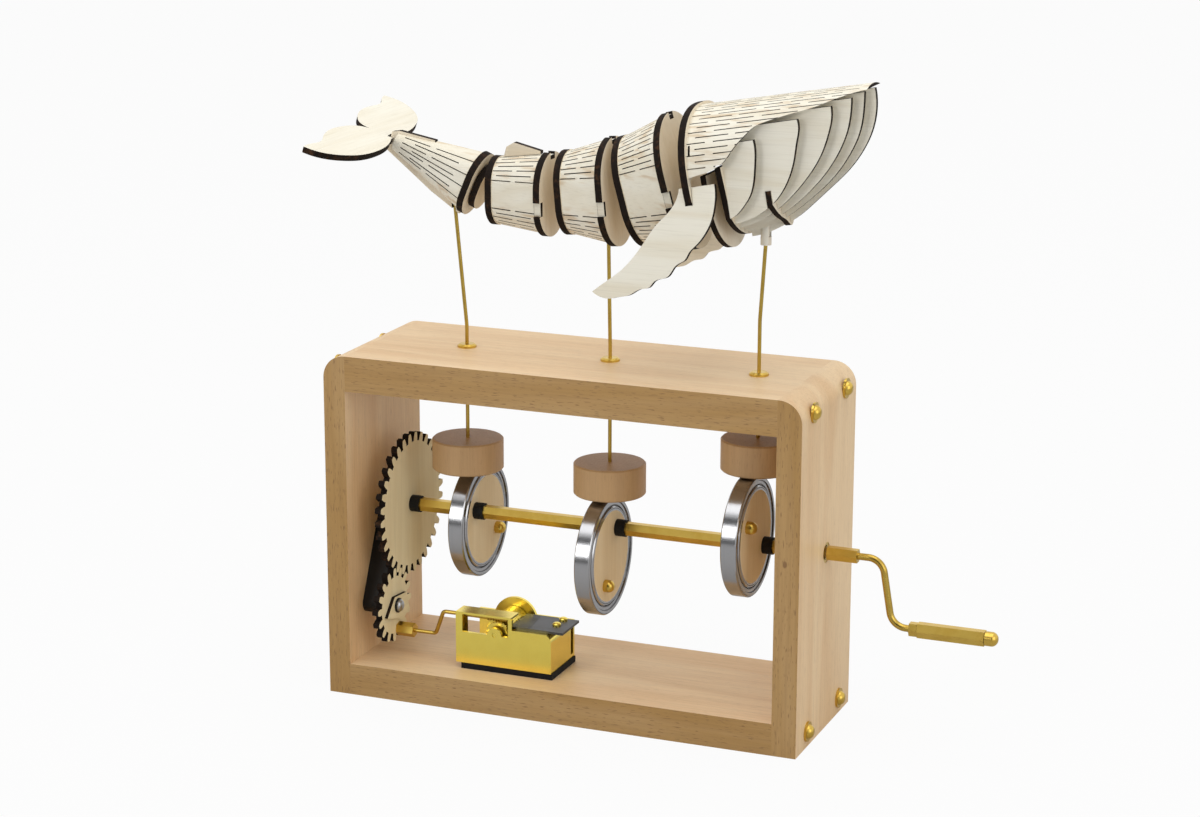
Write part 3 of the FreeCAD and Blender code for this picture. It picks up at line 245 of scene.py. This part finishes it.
class Recipe(Graph):
    """A material under construction, with one surface shader."""

    SOCKETS = {"base": "Base Color", "rough": "Roughness", "metal": "Metallic", "normal": "Normal",
               "specular": "Specular IOR Level"}

    def __init__(self, name):
        self.material = bpy.data.materials.new(name)
        super().__init__(self.material, "ShaderNodeOutputMaterial")
        self.shader = self.tree.nodes.new("ShaderNodeBsdfPrincipled")
        self.tree.links.new(self.shader.outputs[0], self.output.inputs[0])

    def place(self):
        return self.add("ShaderNodeTexCoord", output="Object")

    def facing(self):
        return self.add("ShaderNodeTexCoord", output="Normal")

    def vector(self, operation, *parts, output="Vector"):
        return self.add("ShaderNodeVectorMath", {"operation": operation}, dict(enumerate(parts)),
                        output)

    def stretch(self, vector, x, y, z):
        return self.vector("MULTIPLY", vector, (x, y, z))

    def along(self, vector, direction):
        return self.vector("DOT_PRODUCT", vector, tuple(direction), output="Value")

    def size(self, vector):
        return self.vector("LENGTH", vector, output="Value")

    def noise(self, vector, detail, rough, distort=0.0):
        return self.add("ShaderNodeTexNoise", None, {
            "Vector": vector, "Scale": 1.0, "Detail": detail, "Roughness": rough,
            "Distortion": distort})

    def drawn(self, place, grain, along, across, detail, rough, distort=0.0):
        """Noise drawn out along one axis: few changes along it, many across it, for each metre."""
        scales = [along if axis == grain else across for axis in range(3)]
        return self.noise(self.stretch(place, *scales), detail, rough, distort)

    def even(self, place, scale, detail, rough):
        """Noise that changes alike each way."""
        return self.noise(self.stretch(place, scale, scale, scale), detail, rough)

    def blend(self, factor, first, second):
        """The first colour where the factor is 0, the second where it is 1."""
        factor_input, first_input, second_input, colour_output = 0, 6, 7, 2
        return self.add("ShaderNodeMix", {"data_type": "RGBA"},
                        {factor_input: factor, first_input: first, second_input: second},
                        colour_output)

    def bump(self, height, distance):
        return self.add("ShaderNodeBump", None, {"Height": height, "Distance": distance})

    def finish(self, **values):
        """Set or link the shader's sockets, and give the material."""
        for name, value in values.items():
            self.put(self.shader.inputs[self.SOCKETS[name]], value)
        return self.material


def tones():
    return bpy.context.scene.automaton_colours


def scaled(shade, *shares):
    """A colour with all its parts, or each of them, scaled."""
    if len(shares) == 1:
        shares *= 3
    return tuple(part * share for part, share in zip(shade, shares))


def beech(name, grain, light, deep, edge, fleck, narrow=AXES[Y], knot=None):
    """Growth bands, fibres and the short dark rays of beech.

    Faces along the narrow direction are more flecked, and darker: partly browner edge grain, partly
    painted shade. A knot is a ragged dark oval.
    """
    recipe = Recipe(name)
    place = recipe.place()
    ribbon = recipe.drawn(place, grain, 5, 42, 2.5, 0.45, 1.2).step(0.30, 0.72)
    fibres = recipe.drawn(place, grain, 30, 900, 4, 0.6)
    ray = recipe.drawn(place, grain, 240, 2300, 1, 0.4).step(0.625, 0.69)
    edge_and_shade = abs(recipe.along(recipe.facing(), narrow)).step(*SQUARE_ON)
    base = recipe.blend(ribbon, light, deep)
    # Narrow faces darken: partly their browner edge grain, partly painted shade on less lit faces
    base = recipe.blend(edge_and_shade * (0.80 + ribbon * 0.2), base, edge)
    base = recipe.blend(fibres.step(0.35, 0.75) * (0.12 + edge_and_shade * 0.10), base, fleck)
    base = recipe.blend(ray * (0.14 + edge_and_shade * 0.50), base, fleck)
    if knot:
        apart = recipe.vector("DIVIDE", recipe.vector("SUBTRACT", place, knot), KNOT_SIZE)
        ragged = recipe.size(apart) + (fibres - 0.5) * 0.8
        base = recipe.blend(ragged.step(1.0, 0.5) * 0.75, base, fleck)
    return recipe.finish(base=base, rough=0.42 + fibres * 0.12,
                         normal=recipe.bump(fibres * 0.5 - ray, 0.00003))


def burnt_colour(recipe, place):
    """Char with browner specks in patches."""
    speckle = recipe.even(place, 500, 3, 0.6)
    patch = recipe.even(place, 60, 2, 0.5)
    return recipe.blend(speckle.step(0.45, 0.75) * patch.step(0.35, 0.7), tones().burnt,
                        tones().toasted)


def ply(name, face, grain, edge_mask, bent_frame=None):
    """Pale face veneer with fine grain lines, and burnt edges where the mask is 1.

    A bent skin also has smoke stains on its slitted parts, above and below the middle of its frame.
    """
    recipe = Recipe(name)
    place = recipe.place()
    bands = recipe.drawn(place, grain, 9, 90, 3, 0.5, 0.8)
    fibres = recipe.drawn(place, grain, 40, 1500, 3, 0.6)
    darker = scaled(face, 0.80, 0.72, 0.58)
    base = recipe.blend(bands.step(0.35, 0.75) * 0.45, face, darker)
    base = recipe.blend(fibres.step(0.45, 0.8) * 0.16, base, scaled(darker, 0.55))
    if bent_frame:
        smear = recipe.drawn(place, grain, 55, 420, 2, 0.5)
        rise = abs(local(recipe, place, bent_frame)[1])
        stain = smear.step(0.48, 0.72) * rise.step(3.0, 6.0) * 0.5
        base = recipe.blend(stain, base, tones().scorched)
    edge = edge_mask(recipe, place)
    base = recipe.blend(edge, base, burnt_colour(recipe, place))
    return recipe.finish(base=base, rough=0.62 + fibres * 0.15 + edge * 0.1, specular=0.15,
                         normal=recipe.bump(fibres, 0.00002))


def plate_edges(direction):
    """Edges of a flat plate: wherever the surface doesn't face along its normal."""
    def mask(recipe, place):
        return abs(recipe.along(recipe.facing(), direction)).step(*PLATE_CUT)
    return mask


def brass(name, grain, base, rough=0.24, streak=0.10, dull=0.5):
    """Metal with drawn lines along one axis and slight tarnish."""
    recipe = Recipe(name)
    place = recipe.place()
    drawn = recipe.drawn(place, grain, 60, 2500, 3, 0.6)
    tarnish = recipe.even(place, 130, 3, 0.55)
    shade = recipe.blend(tarnish.step(0.4, 0.75) * dull, base, scaled(base, 0.72, 0.62, 0.42))
    return recipe.finish(base=shade, metal=1.0, rough=rough + drawn * streak + tarnish * 0.08,
                         normal=recipe.bump(drawn, 0.000006))


def race(name, centres, base):
    """Ground steel with turned grooves on its flat faces, round each ring's own centre.

    The centres are given in their order along the shaft.
    """
    recipe = Recipe(name)
    place = recipe.place()
    along_shaft = recipe.along(place, AXES[X])
    radial = None
    for centre in centres:
        moved = recipe.vector("SUBTRACT", place, centre)
        own = recipe.size(recipe.stretch(moved, 0, 1 / MM, 1 / MM))
        if radial is None:
            radial = own
            continue
        start = centre[X] - RING_STARTS
        radial = radial + along_shaft.step(start, start + RING_BLEND) * (own - radial)
    on_face = abs(recipe.along(recipe.facing(), AXES[X])).step(*SQUARE_ON)
    turned = recipe.add("ShaderNodeCombineXYZ", None, {"X": radial * 9, "Y": along_shaft * 9 / MM})
    grind = recipe.noise(turned, 3, 0.6)
    groove = (radial * GROOVE_TURN + GROOVE_PHASE).maths("SINE").step(0.72, 0.94) * on_face
    shade = recipe.blend(grind.step(0.35, 0.7) * 0.35, base, scaled(base, 0.7))
    shade = recipe.blend(groove * 0.92, shade, (0.025, 0.023, 0.02))
    return recipe.finish(base=shade, metal=1.0 - groove * 0.7,
                         rough=0.15 + grind * 0.10 + groove * 0.3,
                         normal=recipe.bump(grind * 0.3 - groove, 0.00002))


def plain(name, base, rough):
    """A matt or painted surface with a fine even texture."""
    recipe = Recipe(name)
    texture = recipe.even(recipe.place(), 700.0, 2, 0.5)
    paler = tuple(part * 1.5 + 0.002 for part in base)
    shade = recipe.blend(texture.step(0.4, 0.8) * 0.4, base, paler)
    return recipe.finish(base=shade, rough=rough + texture * 0.12, specular=0.3,
                         normal=recipe.bump(texture, 0.00001))


# Frames of the whale's pieces: where each one's own axis lies

def pitched(angle, x, z):
    """Origin and the along and up directions of a piece pitched about the side to side axis."""
    turn = math.radians(angle)
    return ((x * MM, 0.0, z * MM), (math.cos(turn), 0.0, math.sin(turn)),
            (-math.sin(turn), 0.0, math.cos(turn)))


# A body segment's frame, its length, and how tall its flat sides are at the rear and the front
SEGMENTS = {
    1: (pitched(0, -30.1, 225.2), 27.0, 8.0, 7.0),
    2: (pitched(5, 1.55, 227.5), 23.6, 8.7, 10.6),
    3: (pitched(15.5, 32.3, 232.3), 25.0, 11.5, 11.0),
}
TAIL = pitched(-22.9, -52.2, 227.4)
HEAD = pitched(10.1, 54.5, 242.0)


def local(recipe, place, where):
    """Coordinates along and up a pitched piece, in millimetres."""
    origin, ahead, up = where
    moved = recipe.vector("SUBTRACT", place, origin)
    return (recipe.along(moved, [part / MM for part in ahead]),
            recipe.along(moved, [part / MM for part in up]))


def skin_cuts(where, span=1.0, rear=0, front=0):
    """Cut faces of a bent skin: where the surface doesn't face straight out from the bend's axis.

    The direction out runs from the axis, or in a section with flat sides from the nearest point of
    the upright line that joins the centres of its two half circles.
    """
    def mask(recipe, place):
        ahead, up = local(recipe, place, where)
        flat = (rear + (ahead / span + 0.5) * (front - rear)) * 0.5
        rise = (up - flat).maths("MAXIMUM", 0.0) + (up + flat).maths("MINIMUM", 0.0)
        side = recipe.along(place, (0, 1 / MM, 0))
        facing = recipe.facing()
        outward = recipe.along(facing, AXES[Y]) * side + recipe.along(facing, where[2]) * rise
        cosine = outward / (side * side + rise * rise).maths("SQRT")
        return abs(cosine).step(*SKIN_CUT)
    return mask


def frame_edges(where, low, high):
    """Cut edges of plates across a piece, and of the lengthwise plate between two places on it."""
    start, end = 0.02, 0.06

    def mask(recipe, place):
        ahead = local(recipe, place, where)[0]
        facing = recipe.facing()
        after_low = ahead.step(low + start, low + end)
        before_high = ahead.step(high - start, high - end)
        between = after_low * before_high
        across = abs(recipe.along(facing, where[1])).step(*PLATE_CUT)
        lengthwise = abs(recipe.along(facing, AXES[Y])).step(*PLATE_CUT)
        return between * lengthwise + (1 - between) * across
    return mask


# Surfaces worked out with numpy

def into_scene(piece):
    bpy.context.scene.collection.objects.link(piece)


def new_piece(name, points, faces, material, body):
    """A flat shaded mesh piece, its points in millimetres, with its material, riding on a body."""
    mesh = bpy.data.meshes.new(name)
    mesh.from_pydata((points * MM).tolist(), [], faces)
    mesh.polygons.foreach_set("use_smooth", [False] * len(mesh.polygons))
    mesh.materials.append(material)
    mesh.update()
    piece = bpy.data.objects.new(name, mesh)
    into_scene(piece)
    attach(piece, body)


def studs(centres, outward, radius, tall, sides):
    """Small tapered pegs, each standing on its centre along its outward direction.

    A peg is two rings of points: every point of a ring is the centre plus the ring's height along
    the outward direction, plus its radius times the cosine and sine of an even angle along two
    directions at right angles to it. The upper ring is a fifth narrower, and one flat face closes
    it.
    """
    turn = np.arange(sides) * 2 * np.pi / sides
    first = np.cross(outward, AXES[Y])
    first /= np.linalg.norm(first, axis=1, keepdims=True)
    second = np.cross(outward, first)
    around = (np.cos(turn)[None, :, None] * first[:, None, :]
              + np.sin(turn)[None, :, None] * second[:, None, :])
    low = centres[:, None, :] + around * radius
    high = centres[:, None, :] + outward[:, None, :] * tall + around * radius * PIN_TAPER
    points = np.stack([low, high], 1).reshape(-1, 3)
    start = (np.arange(len(centres)) * 2 * sides)[:, None]
    here = np.arange(sides)[None, :]
    after = (here + 1) % sides
    walls = np.stack([start + here, start + after, start + sides + after, start + sides + here], -1)
    tips = start + sides + here
    return points, walls.reshape(-1, 4).tolist() + tips.tolist()


def finish_node(node, material):
    """Give a carried node its material."""
    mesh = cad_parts[node].data
    mesh.materials.clear()
    mesh.materials.append(material)


def finish_nodes(names, material):
    for node in names:
        finish_node(node, material)


def numbered(name, count):
    return [name % number for number in range(1, count + 1)]


# Operators

class AUTOMATON_OT_box(bpy.types.Operator):
    """Beech finish for the side panels and boards"""

    bl_idname = "automaton.box"
    bl_label = "Box boards"

    def execute(self, context):
        t = tones()
        shades = (t.beech_light, t.beech, t.beech_edge_and_shade, t.fleck)
        boards = ["top_board", "bottom_board"]
        finish_nodes(boards, beech("beech_board", X, *shades))
        finish_node("left_panel", beech("beech_panel", Z, *shades))
        finish_node("right_panel", beech("beech_panel_marked", Z, *shades, knot=KNOT))
        for node in boards:
            self.ease(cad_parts[node])
        return {"FINISHED"}

    def ease(self, piece):
        """Slightly rounded arrises: the loose triangles are joined first."""
        weld = piece.modifiers.new("join", "WELD")
        weld.merge_threshold = WELD_DISTANCE
        bevel = piece.modifiers.new("arris", "BEVEL")
        bevel.width = ARRIS
        bevel.segments = 2
        bevel.limit_method = "ANGLE"
        bevel.angle_limit = math.radians(60)
        bevel.harden_normals = True


class AUTOMATON_OT_fittings(bpy.types.Operator):
    """Brass screws, washers and bushes"""

    bl_idname = "automaton.fittings"
    bl_label = "Box fittings"

    def execute(self, context):
        base = tones().brass
        finish_nodes(["panel_screws", "panel_washers", "shaft_bushes", "cam_clamp_bolts",
                      "handle_nuts"], brass("turned_brass", X, base, 0.2))
        finish_node("rod_bushes", brass("bush_brass", Z, base, 0.2))
        return {"FINISHED"}


class AUTOMATON_OT_camshaft(bpy.types.Operator):
    """Shaft, cam discs, ball races, sleeves and hand crank"""

    bl_idname = "automaton.camshaft"
    bl_label = "Camshaft"

    def execute(self, context):
        t = tones()
        finish_nodes(["hex_shaft", "crank_coupling", "handle_grip", "pinion_knob"],
                     brass("drawn_bar", X, t.brass, 0.22))
        finish_nodes(["crank_arm", "movement_crank"],
                     brass("bent_wire", X, scaled(t.brass, 0.8), 0.2))
        finish_nodes(["cam_discs", *numbered("cam_dowel_%d", 5)],
                     ply("disc_ply", t.disc, Z, plate_edges(AXES[X])))
        centres = []
        for number in (1, 2, 3):
            outer = "bearing_outer_%d" % number
            low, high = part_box(outer)
            centres.append(tuple((a + b) / 2 for a, b in zip(low, high)))
            finish_node(outer, race("race_steel_%d" % number, centres[-1:], t.steel))
        finish_node("bearing_inner_rings", race("race_steel_inner", centres, t.steel))
        finish_node("shaft_sleeves", plain("black_rubber", t.black, 0.6))
        return {"FINISHED"}


class AUTOMATON_OT_gears(bpy.types.Operator):
    """Laser cut gears, their plate, bracket and axle"""

    bl_idname = "automaton.gears"
    bl_label = "Gears"

    def execute(self, context):
        t = tones()
        edges = plate_edges(AXES[X])
        finish_nodes(["drive_gear", "pinion_gear"], ply("gear_ply", t.gear_ply, Z, edges))
        finish_node("pinion_plate", ply("plate_ply", t.gear_ply, Y, edges))
        finish_nodes(["gear_bracket", "pinion_washer"], plain("black_paint", t.black, 0.4))
        finish_node("pinion_axle_screw", brass("plated_steel", X, t.steel, 0.25))
        return {"FINISHED"}


class AUTOMATON_OT_movement(bpy.types.Operator):
    """Music movement: frame, comb, cylinder, wheels and pad"""

    bl_idname = "automaton.movement"
    bl_label = "Music movement"

    def execute(self, context):
        t = tones()
        finish_node("movement_frame", brass("gold_plating", X, t.gold, 0.17, 0.05, 0.15))
        finish_node("comb_screws", brass("gold_screw", Z, t.gold, 0.2))
        finish_nodes(["movement_cylinder", "cylinder_wheels"],
                     brass("turned_gold", Y, t.gold, 0.22, 0.08, 0.2))
        finish_node("movement_comb", brass("comb_steel", X, scaled(t.steel, 0.25), 0.35))
        finish_node("movement_pad", plain("foam_pad", t.black, 0.8))
        self.pins(context.scene.automaton_sizes)
        return {"FINISHED"}

    def pins(self, sizes):
        """Pins in rows under the comb's teeth, unevenly apart round the cylinder."""
        low, high = (np.array(corner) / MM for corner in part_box("movement_cylinder"))
        middle = (low + high) / 2
        radius = (high[Z] - low[Z]) / 2
        rows = COMB_START + COMB_WIDTH / TEETH * (np.arange(TEETH) + 0.5)
        rows = rows[(rows > low[Y] + CYLINDER_MARGIN) & (rows < high[Y] - CYLINDER_MARGIN)]
        row, number = (part.ravel()
                       for part in np.meshgrid(rows, np.arange(sizes.pins), indexing="ij"))
        uneven = PIN_SCATTER * np.sin(number * 2.4 + row * 1.7) / sizes.pins * 2
        turn = 2 * np.pi * (number / sizes.pins + uneven) + row * ROW_TURN
        outward = np.stack([np.cos(turn), np.zeros_like(turn), np.sin(turn)], -1)
        axis = np.stack([np.full_like(row, middle[X]), row, np.full_like(row, middle[Z])], -1)
        centres = outward * (radius - PIN_SUNK) + axis
        points, faces = studs(centres, outward, sizes.pin_radius / MM,
                              sizes.pin_height / MM + PIN_SUNK, PIN_SIDES)
        new_piece("cylinder_pins", points, faces, brass("pin_metal", Y, tones().gold, 0.25),
                  "music_cylinder")


class AUTOMATON_OT_lift(bpy.types.Operator):
    """Follower discs, push rods and the socket under the head"""

    bl_idname = "automaton.lift"
    bl_label = "Lift"

    def execute(self, context):
        t = tones()
        finish_nodes(numbered("push_rod_%d", 3), brass("rod_wire", Z, scaled(t.brass, 0.8), 0.2))
        finish_nodes(numbered("follower_%d", 3),
                     beech("follower_wood", Z, t.follower, scaled(t.follower, 0.88),
                           scaled(t.follower, 0.62), t.fleck, narrow=AXES[Z]))
        finish_node("head_socket", beech("socket_wood", Z, t.ply, t.inner_ply, t.ply, t.inner_ply))
        return {"FINISHED"}


class AUTOMATON_OT_whale(bpy.types.Operator):
    """Skins, frames, throat and fins of the whale"""

    bl_idname = "automaton.whale"
    bl_label = "Whale"

    def execute(self, context):
        for number, segment in SEGMENTS.items():
            self.segment(number, *segment)
        t = tones()
        finish_node("tail_skin", ply("tail_ply", t.ply, X, skin_cuts(TAIL, *TAIL_SKIN), TAIL))
        finish_node("tail_frames",
                    ply("tail_frame_ply", t.inner_ply, Z, frame_edges(TAIL, *TAIL_FRAMES)))
        finish_node("head_frames", ply("head_frame_ply", t.inner_ply, Z, plate_edges(HEAD[1])))
        finish_node("head_skin", ply("head_ply", t.ply, X, skin_cuts(HEAD), HEAD))
        upright = plate_edges(AXES[Y])
        finish_node("throat_plates", ply("throat_ply", t.ply, X, upright))
        finish_node("dorsal_fin", ply("dorsal_ply", t.inner_ply, X, upright))
        finish_node("pectoral_fins", ply("fin_ply", t.ply, X, upright))
        tilt = math.radians(FLUKE_TILT)
        across_fluke = (math.sin(tilt), 0, math.cos(tilt))
        finish_node("tail_fluke", ply("fluke_ply", t.ply, Y, plate_edges(across_fluke)))
        return {"FINISHED"}

    def segment(self, number, where, span, rear, front):
        """A body segment's skin, and the plates inside it."""
        inside = span / 2 - PLATE
        cuts = skin_cuts(where, 2 * inside, rear, front)
        edges = frame_edges(where, -inside, inside)
        finish_node("segment_skin_%d" % number,
                    ply("skin_ply_%d" % number, tones().ply, X, cuts, where))
        finish_node("segment_frames_%d" % number,
                    ply("frame_ply_%d" % number, tones().inner_ply, Z, edges))


class AUTOMATON_OT_stage(bpy.types.Operator):
    """Pale floor, soft lights, white surroundings and the camera"""

    bl_idname = "automaton.stage"
    bl_label = "Stage"

    def execute(self, context):
        studio = context.scene.automaton_studio
        self.floor()
        self.surroundings(studio.fill)
        self.softbox("key_softbox", (0.0, -0.15, 1.3), (0, 0, 0.15), 1.3, studio.key)
        self.softbox("side_softbox", (1.5, -0.7, 0.7), (0, 0, 0.12), 1.0, studio.side)
        self.softbox("front_softbox", (-0.75, -1.7, 0.75), (0, 0, 0.16), 0.7, studio.front)
        self.card("dark_card", (-0.6, -2.4, 0.9), 3.6)
        self.camera(studio.lens)
        context.scene.view_settings.view_transform = "Standard"
        return {"FINISHED"}

    def sheet(self, name, corners, material):
        """A single face that belongs to the studio."""
        mesh = bpy.data.meshes.new(name)
        mesh.from_pydata(corners, [], [(0, 1, 2, 3)])
        mesh.materials.append(material)
        piece = bpy.data.objects.new(name, mesh)
        into_scene(piece)

    def floor(self):
        """A pale floor that holds the shadow and is otherwise white to the camera."""
        recipe = Recipe("pale_floor")
        recipe.finish(base=(0.60, 0.60, 0.60), rough=0.9, specular=0.0)
        glow = recipe.add("ShaderNodeEmission", None, {"Color": WHITE, "Strength": 1.0})
        seen = recipe.seen_by("Is Camera Ray", "Is Transmission Ray")
        mixed = recipe.add("ShaderNodeMixShader", None, {
            0: seen * FLOOR_GLOW, 1: Term(recipe, recipe.shader.outputs[0]), 2: glow})
        recipe.put(recipe.output.inputs[0], mixed)
        turns = ((-1, -1), (1, -1), (1, 1), (-1, 1))
        corners = [(x * FLOOR_HALF, y * FLOOR_HALF, FLOOR_LEVEL) for x, y in turns]
        self.sheet("floor", corners, recipe.material)

    def surroundings(self, fill):
        """Even light from all round, which is plain white to the camera and in reflections."""
        world = bpy.data.worlds.new("studio")
        bpy.context.scene.world = world
        graph = Graph(world, "ShaderNodeOutputWorld")
        seen = graph.seen_by("Is Camera Ray", "Is Glossy Ray", "Is Transmission Ray")
        light = graph.add("ShaderNodeBackground", None,
                          {"Color": WHITE, "Strength": fill + seen * (1 - fill)})
        graph.put(graph.output.inputs[0], light)

    def softbox(self, name, place, target, size, strength):
        """A square lamp that points at a target."""
        lamp = bpy.data.lights.new(name, "AREA")
        lamp.size = size
        lamp.energy = strength
        piece = bpy.data.objects.new(name, lamp)
        piece.location = place
        aim = Vector(target) - Vector(place)
        piece.rotation_euler = aim.to_track_quat("-Z", "Y").to_euler()
        into_scene(piece)

    def card(self, name, place, size):
        """A dark card behind the camera's left, so that metal has something dark to reflect."""
        x, y, z = place
        half = size / 2
        corners = [(x - half, y, z - half), (x + half, y, z - half), (x + half, y, z + half),
                   (x - half, y, z + half)]
        self.sheet(name, corners, Recipe(name).finish(base=(0.02, 0.02, 0.02), rough=0.9))

    def camera(self, lens):
        """The photo's view: its place, aim and slight roll were fitted to the edges of the box."""
        data = bpy.data.cameras.new("camera")
        data.sensor_fit = "HORIZONTAL"
        data.sensor_width = SENSOR
        data.lens = lens
        data.clip_end = FAR_CLIP
        piece = bpy.data.objects.new("camera", data)
        aim = Vector(CAMERA_AIM) - Vector(CAMERA_PLACE)
        roll = Matrix.Rotation(math.radians(CAMERA_ROLL), 3, "Z")
        piece.location = CAMERA_PLACE
        piece.rotation_euler = (aim.to_track_quat("-Z", "Y").to_matrix() @ roll).to_euler()
        into_scene(piece)
        bpy.context.scene.camera = piece


OPERATORS = (AUTOMATON_OT_box, AUTOMATON_OT_fittings, AUTOMATON_OT_camshaft, AUTOMATON_OT_gears,
             AUTOMATON_OT_movement, AUTOMATON_OT_lift, AUTOMATON_OT_whale, AUTOMATON_OT_stage)


class AUTOMATON_PT_panel(bpy.types.Panel):
    """Buttons for each group of pieces, and the values they use"""

    bl_idname = "AUTOMATON_PT_panel"
    bl_label = "Whale automaton"
    bl_space_type = "VIEW_3D"
    bl_region_type = "UI"
    bl_category = "Automaton"

    def draw(self, context):
        for operator in OPERATORS:
            self.layout.operator(operator.bl_idname)
        for name in GROUPS:
            group = getattr(context.scene, name)
            for value in group.__annotations__:
                self.layout.prop(group, value)


GROUPS = {"automaton_colours": AutomatonColours, "automaton_sizes": AutomatonSizes,
          "automaton_studio": AutomatonStudio}


def register():
    for kind in (*GROUPS.values(), *OPERATORS, AUTOMATON_PT_panel):
        bpy.utils.register_class(kind)
    for name, kind in GROUPS.items():
        setattr(bpy.types.Scene, name, PointerProperty(type=kind))


def unregister():
    for name in GROUPS:
        delattr(bpy.types.Scene, name)
    for kind in (AUTOMATON_PT_panel, *reversed(OPERATORS), *GROUPS.values()):
        bpy.utils.unregister_class(kind)


def main():
    register()
    for operator in OPERATORS:
        group, name = operator.bl_idname.split(".")
        getattr(getattr(bpy.ops, group), name)()


if __name__ == "__main__":
    main()
